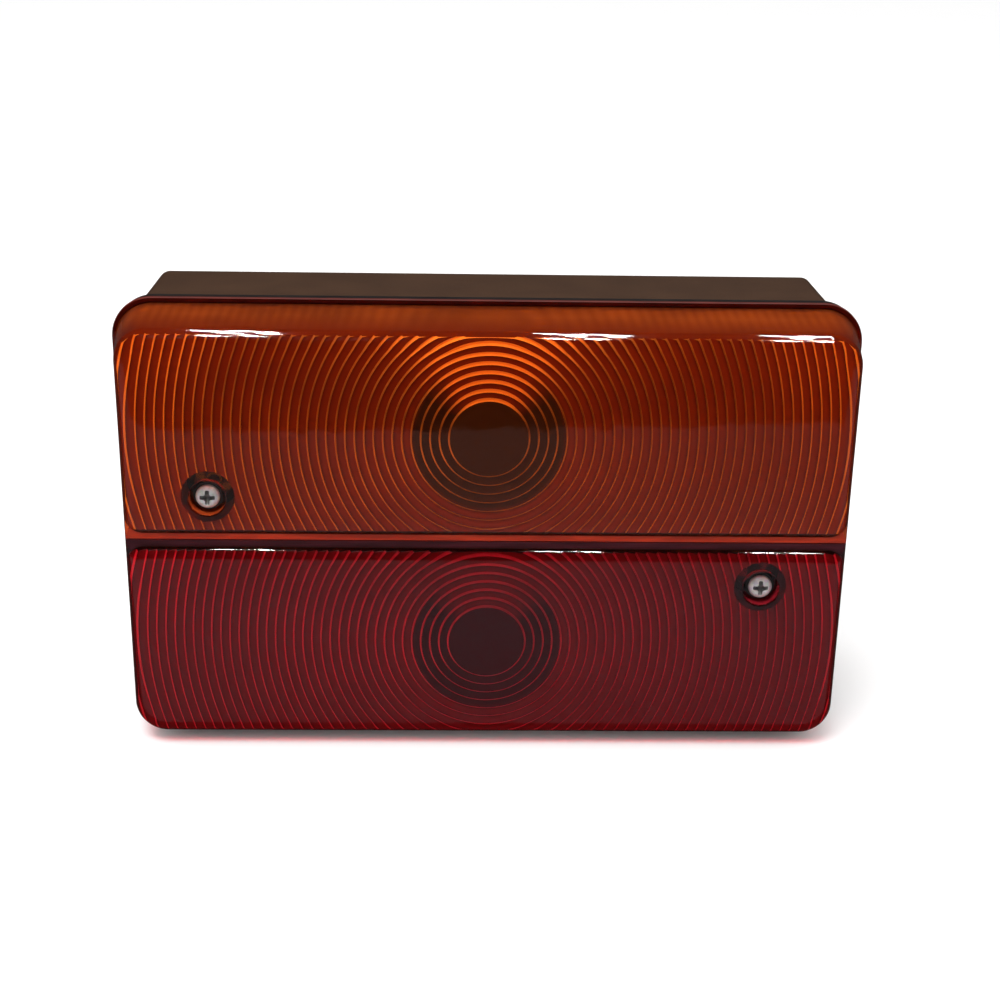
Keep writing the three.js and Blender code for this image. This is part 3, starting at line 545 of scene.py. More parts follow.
def inner_plastic(name, colour_of, through):
    """The inside of a lens, which scatters the light that reaches it and lets some through."""
    paint = Paint(name)
    colour = colour_of(paint)
    paint.use("Base Color", colour)
    paint.set(Roughness=0.45, Specular_IOR_Level=0.2)
    glow = paint.nodes.new("ShaderNodeBsdfTranslucent")
    paint.link(colour, glow.inputs["Color"])
    both = paint.nodes.new("ShaderNodeMixShader")
    both.inputs[0].default_value = through
    paint.link(paint.shader.outputs[0], both.inputs[1])
    paint.link(glow.outputs[0], both.inputs[2])
    paint.link(both.outputs[0], paint.output.inputs["Surface"])
    return paint.material


RING_START = 10.6  # radius of the smooth disc in the middle of a section's rings
RING_PITCH = 2.5
PAINTED_HIGHLIGHT_REACH = 0.12  # of the pitch: the width of the painted highlight beside a step
PAINTED_SHADE_DISC = 20.6  # inside this radius the slopes are painted dark, a painted shade for the bulb close behind


def ring_place(paint, centre_z):
    """A point's distance from the rings' axis in millimetres, and its way from it: 1 is up, -1 is down."""
    x = paint.along("X")
    z = paint.math("SUBTRACT", paint.along("Z"), centre_z * MM)
    square = paint.math("ADD", paint.math("MULTIPLY", x, x), paint.math("MULTIPLY", z, z))
    radius = paint.math("SQRT", square)
    return paint.math("DIVIDE", radius, MM), paint.math("DIVIDE", z, radius)


def shares(paint, value, low, high):
    """0 below low, 1 above high, and even in between."""
    node = paint.nodes.new("ShaderNodeMapRange")
    node.inputs["From Min"].default_value = low
    node.inputs["From Max"].default_value = high
    paint.link(value, node.inputs["Value"])
    return node.outputs["Result"]


# the strength of the lines' painted highlight, at places from straight below the centre (0) to straight above
# it (1)
AMBER_CATCH = [(0.0, 0.6), (0.30, 1.0), (0.48, 0.7), (0.62, 0.28), (0.80, 0.45), (0.93, 1.0)]
RED_CATCH = [(0.0, 0.9), (0.35, 1.0), (0.55, 0.85), (0.75, 0.5), (0.93, 0.4)]
END_LINES = (66.0, 84.0)  # the lines' painted highlight brightens again towards the lamp's two ends, over these radii


def catch(paint, radius, above, stops):
    """How strongly a ring's step is painted as catching the light: a painted highlight."""
    around = paint.ramp(shares(paint, above, -1.0, 1.0), [(place, (grey,) * 3) for place, grey in stops])
    return paint.math("MAXIMUM", around, shares(paint, radius, *END_LINES))


def facet_colour(centre_z, near, far, disc_shade, glow, stops, reach_above):
    """Each ring's slope has a painted highlight beside its step and painted shade that darkens it outwards.
    Most of the middle ones are painted dark as painted shade, except above the centre, where they are painted
    lighter as if lit from above.
    """
    def build(paint):
        radius, above = ring_place(paint, centre_z)
        rings_out = paint.math("DIVIDE", paint.math("SUBTRACT", radius, RING_START), RING_PITCH)
        phase = paint.math("FRACT", rings_out)
        # the slope's painted shade deepens outwards, towards the next step
        edge = tuple(c * 0.45 for c in far)
        slope = paint.ramp(phase, [(0.15, near), (0.55, near), (0.80, far), (0.95, edge)])
        cloud = paint.noise(11.0, 3.0)
        uneven = paint.mix(paint.between(cloud, 0.0, 0.5), slope, tuple(c * 0.55 for c in near))
        # the middle disc is painted dark as painted shade, but lighter above the centre, painted as if lit
        # from above
        past_disc = shares(paint, radius, RING_START - 0.6, RING_START + 0.9)
        lit_above = paint.math("MULTIPLY", shares(paint, above, 0.55, 0.85), past_disc)
        out_of_middle = shares(paint, radius, PAINTED_SHADE_DISC - 1.0, PAINTED_SHADE_DISC + 1.0)
        base = paint.mix(paint.math("MAXIMUM", out_of_middle, lit_above), disc_shade, uneven)
        # a painted highlight beside each step, wider above the centre and as strong as catch gives
        reach = paint.between(shares(paint, above, 0.7, 0.97), PAINTED_HIGHLIGHT_REACH, reach_above)
        beside = paint.math("LESS_THAN", phase, reach)
        ringed = paint.math("MULTIPLY", beside, paint.math("GREATER_THAN", radius, RING_START))
        return paint.mix(paint.math("MULTIPLY", ringed, catch(paint, radius, above, stops)), base, glow)
    return build


def line_colour(centre_z, bright, dim, stops):
    """The steps between the rings, painted brighter or dimmer by their place round the centre, as painted
    highlights.
    """
    def build(paint):
        radius, above = ring_place(paint, centre_z)
        cloud = paint.noise(16.0, 3.0)
        strength = catch(paint, radius, above, stops)
        return paint.mix(1.0, paint.ramp(cloud, [(0.35, dim), (0.6, bright)]), strength, "MULTIPLY")
    return build


NEAR_FACE = (0.75, 0.30, 0.30)  # the wall's colour beside the face, as a share of its darker colour
NEAR_FACE_REACH = (4.0, 15.0)


def wall_colour(dark, light, centre_z=0.0):
    """A soft cloudy colour with faint painted shadows of the rings across it, redder and darker near the
    face.
    """
    def build(paint):
        radius, _ = ring_place(paint, centre_z)
        # painted shadows of the rings, as faint stripes
        shadow = paint.math("SINE", paint.math("MULTIPLY", radius, TURN / RING_PITCH))
        cloud = paint.math("ADD", paint.noise(24.0, 2.0), paint.math("MULTIPLY", shadow, 0.07))
        cloudy = paint.ramp(cloud, [(0.3, dark), (0.7, light)])
        from_face = shares(paint, paint.along("Y"), *((FACE_Y + reach) * MM for reach in NEAR_FACE_REACH))
        return paint.mix(from_face, tuple(c * f for c, f in zip(dark, NEAR_FACE)), cloudy)
    return build


# ---------------------------------------------------------------- lenses

LENS_DRAFT = 3.4
LENS_FILLET = 4.6
LENS_WALL = 2.8
RIM_CORNER = 11.0
FACE_CORNER = 9.0
RIM_BEAD = 0.8
RIM_BEAD_THICKNESS = 1.4
GROOVE_DEPTH = 2.4
GROOVE_FLOOR = 1.9
RIB_HALF = 1.7
RIB_END_Y = -51.0
LIP_WIDTH = 3.3  # of the curve from the groove's floor to the raised face
PANEL_CORNER = 4.4  # of a raised face, beside the seam
INNER_FILLET = 0.6
FACE_SIDE_WALL = 1.6  # from the raised face's edge to the rings
BACKING = 3.4  # the groove's floor is backed this far to each side of the seam
RING_DEPTH = 0.8
STEP_WIDTH = 0.36
THIN = 2.0  # plastic left at the bottom of a ring
TUBE_R = 7.2
COUNTERBORE_R = 4.9
SEAT_Y = corners("amber_screw_seal")[1].y
SCREW_HOLE_R = 2.05


def section_outline(side, inset, seam, outer_corner, seam_corner):
    """The outline of one lens section: side is 1 above the seam and -1 below it."""
    x = HALF_WIDTH - inset
    z = HALF_HEIGHT - inset
    if side > 0:
        return rounded(-x, x, seam, z, (seam_corner, outer_corner, outer_corner, seam_corner))
    return rounded(-x, x, -z, -seam, (outer_corner, seam_corner, seam_corner, outer_corner))


def wall_inset(y):
    """How far the outside of the lens wall stands in from the rim at y."""
    share = (y - RIM_Y) / (FACE_Y + LENS_FILLET - RIM_Y)
    return RIM_BEAD + (LENS_DRAFT - RIM_BEAD) * min(max(share, 0.0), 1.0)


def lens_body(side):
    """The outside of a section, with its rim, tapered wall, raised face and round edges."""
    sharp = 0.02
    bead_front = RIM_Y - RIM_BEAD_THICKNESS
    round_rim = 0.35
    levels = [
        (RIM_Y, section_outline(side, 0.15, SEAM_GAP, RIM_CORNER, sharp)),
        (RIM_Y - 0.15, section_outline(side, 0.0, SEAM_GAP, RIM_CORNER, sharp)),
        (bead_front + round_rim, section_outline(side, 0.0, SEAM_GAP, RIM_CORNER, sharp)),
        (bead_front + 0.08, section_outline(side, 0.16, SEAM_GAP, RIM_CORNER, sharp)),
        (bead_front - 0.1, section_outline(side, 0.5, SEAM_GAP, RIM_CORNER - 0.5, sharp)),
        (bead_front - round_rim, section_outline(side, wall_inset(bead_front), SEAM_GAP,
                                                 RIM_CORNER - RIM_BEAD, sharp)),
    ]
    fillet_y = FACE_Y + LENS_FILLET
    floor_y = FACE_Y + GROOVE_DEPTH
    levels.append((fillet_y, section_outline(side, LENS_DRAFT, SEAM_GAP, FACE_CORNER, sharp)))

    def inset_at(y):
        angle = asin(min((fillet_y - y) / LENS_FILLET, 1.0))
        return LENS_FILLET * (1 - cos(angle))

    for i in range(1, 4):
        y = fillet_y + (floor_y - fillet_y) * i / 4
        inset = inset_at(y)
        levels.append((y, section_outline(side, LENS_DRAFT + inset, SEAM_GAP, FACE_CORNER - inset, sharp)))
    step = 0.02
    inset = inset_at(floor_y)
    levels.append((floor_y, section_outline(side, LENS_DRAFT + inset, SEAM_GAP, FACE_CORNER - inset, sharp)))
    levels.append((floor_y - step, section_outline(side, LENS_DRAFT + inset + step, GROOVE_FLOOR,
                                                   FACE_CORNER - inset, PANEL_CORNER)))
    rounds = 14
    for i in range(1, rounds + 1):
        angle = i / rounds * pi / 2
        y = floor_y - step - (GROOVE_DEPTH - step) * sin(angle)
        inset = inset_at(y)
        lip = LIP_WIDTH * (1 - cos(angle))
        outline = section_outline(side, LENS_DRAFT + inset + step, GROOVE_FLOOR + lip,
                                  max(FACE_CORNER - inset, 1.0), max(PANEL_CORNER - lip, 0.8))
        levels.append((y, outline))
    return loft("lens_body", levels)


def ring_profile():
    """The ringed inside of the lens face as (radius, y), from the axis outwards."""
    deep_y = FACE_Y + THIN
    high_y = deep_y + RING_DEPTH
    profile = [(0.0, high_y - 0.15), (0.25, high_y - 0.32)]  # a small point on the axis
    for i in range(1, 9):
        radius = (RING_START - STEP_WIDTH / 2) * i / 8
        profile.append((radius, high_y - 0.3 - (RING_DEPTH - 0.3) * (i / 8) ** 2))
    reach = hypot(HALF_WIDTH, HALF_HEIGHT) + 12
    radius = RING_START
    while radius < reach:
        profile.append((radius + STEP_WIDTH / 2, high_y))
        profile.append((radius + RING_PITCH / 2, (high_y + deep_y) / 2 + 0.06))
        profile.append((radius + RING_PITCH - STEP_WIDTH / 2, deep_y))
        radius += RING_PITCH
    return profile


def lens_hollow(side, screw):
    """The space inside a section, whose front end is ringed."""
    back_y = RIM_Y + 1
    step_y = FACE_Y + GROOVE_DEPTH + LENS_WALL
    front_y = FACE_Y + THIN - 0.3
    corner = FACE_CORNER - 2.4
    backing = BACKING
    front_inset = LENS_DRAFT + FACE_SIDE_WALL - LENS_WALL

    def outline(inset, seam, outer_corner, seam_corner):
        return section_outline(side, inset + LENS_WALL, seam, outer_corner, seam_corner)

    levels = [
        (back_y, outline(RIM_BEAD, RIB_HALF, RIM_CORNER - LENS_WALL, 0.6)),
        (step_y + 0.02, outline(front_inset, RIB_HALF, corner + 0.2, 0.6)),
        (step_y, outline(front_inset, backing, corner + 0.2, 1.2)),
        (FACE_Y + THIN + INNER_FILLET, outline(front_inset, backing, corner, 1.2)),
    ]
    rounds = 6
    for i in range(1, rounds + 1):
        angle = i / rounds * pi / 2
        inset = INNER_FILLET * (1 - cos(angle))
        y = FACE_Y + THIN + INNER_FILLET - (INNER_FILLET + 0.3) * sin(angle)
        levels.append((y, outline(front_inset + inset, backing + inset * 0.3, corner - inset, 1.0)))
    assert levels[-1][0] <= front_y + 0.01
    hollow = loft("hollow", levels)
    face = ring_profile()
    rings = lathe("rings", [(0.0, back_y + 6), (face[-1][0], back_y + 6)] + face[::-1],
                  0.0, side * BULB_Z, 360)
    combine(hollow, [rings], "INTERSECT")
    post = rod("post", screw[0], screw[1], TUBE_R, FACE_Y - 2, RIB_END_Y, 72)
    return combine(hollow, [post], "DIFFERENCE")


def in_hollow(x, y, height):
    """Whether a point lies inside the lens wall, measured from the middle of the seam."""
    inset = wall_inset(y)
    share = (inset - RIM_BEAD) / (LENS_DRAFT - RIM_BEAD)
    centre = RIM_CORNER + (LENS_DRAFT + FACE_CORNER - RIM_CORNER) * share
    across = max(abs(x) - (HALF_WIDTH - centre), 0.0)
    up = max(height - (HALF_HEIGHT - centre), 0.0)
    return hypot(across, up) < centre - inset - FACE_SIDE_WALL + 0.3


def sort_lens_faces(obj, side, screw):
    """Gives each face its material, by where it lies and which way it faces."""
    outside, slopes, steps, walls, seam, shade, rim, tube, groove, bore = range(10)
    low_y = FACE_Y + THIN - 0.05
    high_y = FACE_Y + THIN + RING_DEPTH + 0.05
    floor_y = FACE_Y + GROOVE_DEPTH
    for face in obj.data.polygons:
        x, y, z = (c / MM for c in face.center)
        height = side * z
        from_screw = hypot(x - screw[0], z - screw[1])
        hollowed = y > low_y and height > RIB_HALF - 0.1 and in_hollow(x, y, height)
        inside = hollowed and from_screw > COUNTERBORE_R + 0.2
        if abs(height - SEAM_GAP) < 0.05 and y > floor_y:
            face.material_index = seam
        elif y > RIM_Y - 0.02 or (y > RIM_Y - RIM_BEAD_THICKNESS and not inside):
            face.material_index = rim
        elif height < GROOVE_FLOOR and y < floor_y + 0.01 and face.normal.y < -0.9:
            face.material_index = groove
        elif abs(from_screw - COUNTERBORE_R) < 0.15 and FACE_Y + 0.45 < y < SEAT_Y - 0.05:
            face.material_index = bore
        elif not inside:
            face.material_index = outside
        elif y < high_y and face.normal.y > 0.72:
            face.material_index = slopes
        elif y < high_y and face.normal.y > 0.25:
            face.material_index = steps
        elif from_screw < TUBE_R + 0.2:
            face.material_index = tube
        elif height < BACKING + 0.1:
            face.material_index = shade
        else:
            face.material_index = walls


def lens(node, side, screw, paints):
    body = lens_body(side)
    counterbore = lathe("counterbore", [
        (0.0, FACE_Y - 1), (COUNTERBORE_R + 1.35, FACE_Y - 1), (COUNTERBORE_R + 0.35, FACE_Y),
        (COUNTERBORE_R + 0.1, FACE_Y + 0.12), (COUNTERBORE_R, FACE_Y + 0.4), (COUNTERBORE_R, SEAT_Y),
        (0.0, SEAT_Y),
    ], screw[0], screw[1], 96)
    hole = rod("hole", screw[0], screw[1], SCREW_HOLE_R, SEAT_Y - 1, RIB_END_Y + 1)
    combine(body, [lens_hollow(side, screw), counterbore, hole], "DIFFERENCE")
    body.name = f"{node}_moulding"
    stand_in(body, node, node.replace("lens", "plastic"), *paints, angle=24)
    sort_lens_faces(body, side, screw)
    return body


def painted_glow_plastic(name, dark, light):
    """The groove along the seam and the screw's counterbore, painted with the glow of the light that gathers
    there from the plastic behind.
    """
    paint = Paint(name)
    paint.set(Specular_IOR_Level=0.25)
    streaks = paint.noise(1.6, 4.0, vector=paint.stretched(0.12, 1, 1))
    paint.use("Base Color", paint.ramp(streaks, [(0.35, dark), (0.65, light)]))
    paint.use("Roughness", paint.between(paint.noise(3.0, 3.0), 0.12, 0.25))
    paint.use("Normal", paint.bump(streaks, 0.02))
    return paint.material


# the colours of the sections: a pair is darker and lighter, except that the lines go from bright to dim. The
# slopes and lines carry painted highlights and painted shade, and the seam, tube, groove and bore colours are
# painted glow of light gathered in the plastic
AMBER_LOOK = {
    "z": BULB_Z,
    "tint": (0.97, 0.20, 0.020),
    "near": (0.20, 0.042, 0.020),
    "far": (0.12, 0.022, 0.010),
    "disc_shade": (0.030, 0.020, 0.020),
    "glow": (0.90, 0.58, 0.34),
    "catch": AMBER_CATCH,
    "reach_above": 0.30,
    "lines": ((1.0, 0.80, 0.50), (0.95, 0.66, 0.36)),
    "walls": ((0.15, 0.085, 0.05), (0.24, 0.15, 0.08)),
    "seam": ((0.80, 0.38, 0.22), (0.95, 0.50, 0.26)),
    "seam_through": 0.35,
    "shade": ((0.040, 0.030, 0.030), (0.060, 0.040, 0.036)),
    "rim": ((0.070, 0.006, 0.003), (0.110, 0.011, 0.005)),
    "tube": ((0.30, 0.11, 0.07), (0.46, 0.17, 0.10)),
    "groove": ((0.17, 0.012, 0.003), (0.27, 0.022, 0.005)),
    "bore": ((0.20, 0.018, 0.005), (0.42, 0.060, 0.012)),
}
RED_LOOK = {
    "z": -BULB_Z,
    "tint": (0.76, 0.018, 0.036),
    "near": (0.17, 0.036, 0.044),
    "far": (0.11, 0.028, 0.032),
    "disc_shade": (0.028, 0.020, 0.021),
    "glow": (0.85, 0.26, 0.34),
    "catch": RED_CATCH,
    "reach_above": 0.16,
    "lines": ((1.0, 0.50, 0.52), (0.75, 0.36, 0.38)),
    "walls": ((0.10, 0.06, 0.07), (0.17, 0.10, 0.11)),
    "seam": ((0.16, 0.08, 0.09), (0.24, 0.12, 0.13)),
    "seam_through": 0.3,
    "shade": ((0.03, 0.02, 0.022), (0.05, 0.03, 0.034)),
    "rim": ((0.035, 0.003, 0.004), (0.055, 0.005, 0.007)),
    "tube": ((0.24, 0.09, 0.09), (0.38, 0.14, 0.14)),
    "groove": ((0.018, 0.002, 0.004), (0.034, 0.004, 0.008)),
    "bore": ((0.12, 0.004, 0.008), (0.26, 0.010, 0.018)),
}


def lens_paints(name, look):
    """A section's materials, in the order that sort_lens_faces counts them."""
    def inner(part, through):
        return inner_plastic(f"{name}_{part}", wall_colour(*look[part], look["z"]), through)

    slopes = facet_colour(look["z"], look["near"], look["far"], look["disc_shade"], look["glow"], look["catch"],
                          look["reach_above"])
    lines = line_colour(look["z"], *look["lines"], look["catch"])
    return [
        lens_outside(f"{name}_plastic", look["tint"]),
        inner_plastic(f"{name}_slopes", slopes, 0.25),
        inner_plastic(f"{name}_steps", lines, 0.3),
        inner("walls", 0.4),
        # the seam and tube are painted bright, a painted glow of light gathered in the plastic
        inner("seam", look["seam_through"]),
        inner("shade", 0.2),
        plain_surface(f"{name}_rim", *look["rim"], (0.5, 0.7), 2.0, 0.01, Specular_IOR_Level=0.1),
        inner("tube", 0.3),
        # the groove and counterbore take painted glow
        painted_glow_plastic(f"{name}_groove", *look["groove"]),
        painted_glow_plastic(f"{name}_bore", *look["bore"]),
    ]


def lenses():
    lens("amber_lens", 1, AMBER_SCREW, lens_paints("amber", AMBER_LOOK))
    lens("red_lens", -1, RED_SCREW, lens_paints("red", RED_LOOK))


# ---------------------------------------------------------------- housing

WALL = 2.5
GAP = 0.3
BACK_WALL = 3.0
HOUSING_INSET = 4.0
HOUSING_DRAFT = 0.9
HOUSING_CORNER = 3.5
BACK_FILLET = 1.6
FLANGE_THICKNESS = 3.0
FLANGE_INSET = 0.5
DIVIDER = 2.4
DIVIDER_FRONT_Y = -50.0
BOSS_R = 5.5
BOSS_FRONT_Y = -50.4
BOSS_BORE_END_Y = -30.0
SOCKET_BACK_Y = -6.0
RIVET_OFFSET = 17.0
RIVET_R = 1.45
RIVET_POCKET_R = 3.2
RIVET_POCKET = 1.2
STUD_X, STUD_Z = 55.0, 20.0
STUD_R = 3.0
STUD_HEAD_FLATS = 10.0
STUD_POCKET_Y = -3.5
STUD_PAD_R = 8.5
STUD_PAD_Y = -8.2
CABLE_X, CABLE_Z = axis_of("cable_grommet")
CABLE_PAD_R = 9.5
CABLE_PAD_Y = -5.0
GROMMET_R = 7.0
GROMMET_NECK_R = 5.1
GROMMET_POCKET = 2.0
INDICATOR_LEAD_X = 46.0
ROOTED = -BACK_WALL / 2  # ribs, bosses and pads start this deep in the back wall
PAST = 1.0  # a cutter runs this far past the face it opens
SCREWS = [AMBER_SCREW, RED_SCREW]
RIVETS = [z + offset for z in (BULB_Z, -BULB_Z) for offset in (RIVET_OFFSET, -RIVET_OFFSET)]
STUDS = [(-STUD_X, STUD_Z), (STUD_X, STUD_Z)]


def centred(half_width, half_height, corner, steps=14):
    return rounded(-half_width, half_width, -half_height, half_height, (corner,) * 4, steps)


def housing_shell():
    half_width = HALF_WIDTH - HOUSING_INSET
    half_height = HALF_HEIGHT - HOUSING_INSET
    levels = []
    rounds = 8
    for i in range(rounds, -1, -1):
        angle = i / rounds * pi / 2
        inset = BACK_FILLET * (1 - cos(angle)) + HOUSING_DRAFT
        y = -BACK_FILLET * (1 - sin(angle))
        corner = HOUSING_CORNER - BACK_FILLET * (1 - cos(angle))
        levels.append((y, centred(half_width - inset, half_height - inset, corner)))
    levels.append((FLANGE_FRONT_Y, centred(half_width, half_height, HOUSING_CORNER + HOUSING_DRAFT)))
    return loft("housing_moulding", levels)


def housing_flange():
    width, height = HALF_WIDTH - FLANGE_INSET, HALF_HEIGHT - FLANGE_INSET
    corner = RIM_CORNER - FLANGE_INSET
    edge = 0.4
    back = FLANGE_FRONT_Y + FLANGE_THICKNESS
    return loft("flange", [
        (back, centred(width - edge, height - edge, corner - edge)),
        (back - 0.12, centred(width - 0.12, height - 0.12, corner - 0.12)),
        (back - edge, centred(width, height, corner)),
        (FLANGE_FRONT_Y, centred(width, height, corner)),
    ])


def housing_cavity():
    half_width = HALF_WIDTH - HOUSING_INSET - WALL
    half_height = HALF_HEIGHT - HOUSING_INSET - WALL
    corner = HOUSING_CORNER - WALL + 1
    fillet = 0.8
    levels = []
    rounds = 6
    for i in range(rounds, 0, -1):
        angle = i / rounds * pi / 2
        inset = fillet * (1 - cos(angle)) + HOUSING_DRAFT
        y = -BACK_WALL - fillet * (1 - sin(angle))
        levels.append((y, centred(half_width - inset, half_height - inset, max(corner - inset, 0.25))))
    levels.append((FLANGE_FRONT_Y - 1, centred(half_width, half_height, corner)))
    return loft("cavity", levels)


def divider():
    """The wall between the sections, with a chamfered front edge."""
    half = HALF_WIDTH - HOUSING_INSET - 1.6
    chamfer = 0.35
    return loft("divider", [
        (ROOTED, centred(half, DIVIDER / 2, 0.05, 2)),
        (DIVIDER_FRONT_Y + chamfer, centred(half, DIVIDER / 2, 0.05, 2)),
        (DIVIDER_FRONT_Y, centred(half, DIVIDER / 2 - chamfer, 0.05, 2)),
    ])


def bosses_and_pads():
    bosses = [lathe("boss", [(0, BOSS_FRONT_Y), (BOSS_R - 0.4, BOSS_FRONT_Y), (BOSS_R, BOSS_FRONT_Y + 0.4),
                             (BOSS_R + 0.7, -BACK_WALL), (BOSS_R + 0.7, ROOTED), (0, ROOTED)], x, z)
              for x, z in SCREWS]
    pads = [block("pad", (-5, 5), (SOCKET_BACK_Y, ROOTED), (z - 4, z + 4)) for z in RIVETS]
    stud_pads = [lathe("stud_pad", [(0, STUD_PAD_Y), (STUD_PAD_R - 0.5, STUD_PAD_Y),
                                    (STUD_PAD_R, STUD_PAD_Y + 0.5), (STUD_PAD_R, ROOTED), (0, ROOTED)], x, z)
                 for x, z in STUDS]
    cable_pad = rod("cable_pad", CABLE_X, CABLE_Z, CABLE_PAD_R, CABLE_PAD_Y, ROOTED, 72)
    return [*bosses, *pads, *stud_pads, cable_pad]


def housing_holes():
    """The cutters for the holes and the pockets round them."""
    cutters = [lathe("bore", [(0, BOSS_FRONT_Y - PAST), (2.9, BOSS_FRONT_Y - PAST), (2.6, BOSS_FRONT_Y),
                              (SCREW_HOLE_R, BOSS_FRONT_Y + 0.6), (SCREW_HOLE_R, BOSS_BORE_END_Y),
                              (0, BOSS_BORE_END_Y + 0.8)], x, z) for x, z in SCREWS]
    for z in RIVETS:
        cutters.append(rod("rivet_hole", 0, z, RIVET_R + GAP, SOCKET_BACK_Y - PAST, PAST))
        cutters.append(rod("rivet_pocket", 0, z, RIVET_POCKET_R, -RIVET_POCKET, PAST))
    for x, z in STUDS:
        cutters.append(rod("stud_hole", x, z, STUD_R + GAP, STUD_PAD_Y - PAST, PAST))
        outline = hexagon(STUD_HEAD_FLATS + 2 * GAP, x, z)
        cutters.append(loft("stud_pocket", [(STUD_PAD_Y - PAST, outline), (STUD_POCKET_Y, outline)]))
    cutters.append(rod("cable_hole", CABLE_X, CABLE_Z, GROMMET_NECK_R + GAP, CABLE_PAD_Y - PAST, PAST, 72))
    cutters.append(rod("cable_pocket", CABLE_X, CABLE_Z, GROMMET_R + GAP, -GROMMET_POCKET, PAST, 72))
    return cutters


def divider_notches():
    """Openings at the divider's foot, for the earth strip and for the indicator's lead."""
    notch_front = SOCKET_BACK_Y - 3.6
    cutters = []
    for x, half_notch in ((0, 6), (INDICATOR_LEAD_X, 2.5)):
        outline = rounded(x - half_notch, x + half_notch, -DIVIDER, DIVIDER, (0.05,) * 4, 2)
        cutters.append(loft("notch", [(notch_front, outline), (-BACK_WALL, outline)]))
    return cutters


def pin_marks():
    """The witness marks that the mould's ejector pins leave on the back."""
    return [lathe("pin_mark", [(0, -0.18), (3.0, -0.18), (3.05, 0.4), (0, 0.4)], x, z)
            for x in (-80, -28, 28, 80) for z in (-44, 44)]


def housing():
    half_outside = [(half - HOUSING_INSET + 0.1) * MM for half in (HALF_WIDTH, HALF_HEIGHT)]
    shell = combine(housing_shell(), [housing_flange()], "UNION")
    combine(shell, [housing_cavity()], "DIFFERENCE")
    combine(shell, [divider(), *bosses_and_pads()], "UNION")
    combine(shell, [*housing_holes(), *divider_notches(), *pin_marks()], "DIFFERENCE")
    shell.name = "housing_moulding"
    stand_in(shell, "housing", "black_plastic", black_plastic(), flange_painted_shade(), angle=28)
    # the flange's faces take the near-black paint, a painted shade
    for face in shell.data.polygons:
        on_flange = abs(face.center.x) > half_outside[0] or abs(face.center.z) > half_outside[1]
        face.material_index = 1 if on_flange else 0


def gasket():
    """A foam strip that the flange and rim press, so its sides bulge a little."""
    low, high = corners("lens_gasket")
    front, back = low.y, high.y
    inset, width, most_bulge = HALF_WIDTH - high.x, 3.4, 0.22
    steps = 8

    def level(share, outward):
        bulge = most_bulge * sin(pi * share)
        edge = inset + most_bulge - bulge if outward else inset + width - most_bulge + bulge
        return (back + (front - back) * share,
                centred(HALF_WIDTH - edge, HALF_HEIGHT - edge, RIM_CORNER - edge))

    body = loft("gasket_strip", [level(i / steps, True) for i in range(steps + 1)])
    inner = [level(i / steps, False) for i in range(steps + 1)]
    inner[0] = (back + 1, inner[0][1])
    inner[-1] = (front - 1, inner[-1][1])
    combine(body, [loft("gap", inner)], "DIFFERENCE")
    stand_in(body, "lens_gasket", "black_rubber", foam_rubber(), angle=40)


# ---------------------------------------------------------------- screws, studs and nuts


def threaded(name, x, z, outer, inner, pitch, y0, y1, tip, around=36, per_pitch=8):
    """A rod from y0 to y1 whose surface is a screw thread, tapering to its tip over the last tip mm at y1."""
    rows = int((y1 - y0) / pitch * per_pitch)
    points = []
    for row in range(rows + 1):
        y = y0 + (y1 - y0) * row / rows
        near_tip = max(0.0, 1 - (y1 - y) / tip) if tip else 0.0
        near_root = min(1.0, (y - y0) / pitch)
        for i in range(around):
            angle = TURN * i / around
            phase = (y / pitch - i / around) % 1.0
            crest = 1 - abs(2 * phase - 1)
            radius = inner + (outer - inner) * min(1.0, crest * 1.25) * near_root
            radius = max(radius * (1 - near_tip) + inner * 0.35 * near_tip, 0.2)
            points.append((x + radius * cos(angle), y, z + radius * sin(angle)))
    return make(name, points, skin(rows + 1, around))


def cross_recess(x, z, top, depth, reach):
    """The cutter for a cross-shaped driver recess that narrows as it goes in."""
    above = top - 0.4
    pieces = []
    for turned in (False, True):
        def outline(long, wide):
            half_x, half_z = (wide, long) if turned else (long, wide)
            return rounded(x - half_x, x + half_x, z - half_z, z + half_z, (wide * 0.6,) * 4, 5)
        pieces.append(loft("recess", [
            (above, outline(reach + 0.15, 0.66)),
            (top, outline(reach, 0.6)),
            (top + depth * 0.6, outline(reach * 0.6, 0.45)),
            (top + depth, outline(0.6, 0.3)),
        ]))
    centre = lathe("recess_centre", [(0, above), (1.25, above), (1.1, top), (0.65, top + depth),
                                     (0, top + depth + 0.3)], x, z, 32)
    return combine(pieces[0], [pieces[1], centre], "UNION")


HEAD_HEIGHT = 2.1
DOME_HEIGHT = 1.35  # of the round part of the head
DOME_ANGLE = radians(82)  # of the arc that gives the round part its shape
SHANK_R = 1.75
SHANK_CORE_R = 1.25
SHANK_PITCH = 1.4


def dome_fall(angle):
    """How far the head has fallen away from its top, at an angle along the dome's arc."""
    return DOME_HEIGHT * (1 - cos(angle)) / (1 - cos(DOME_ANGLE))


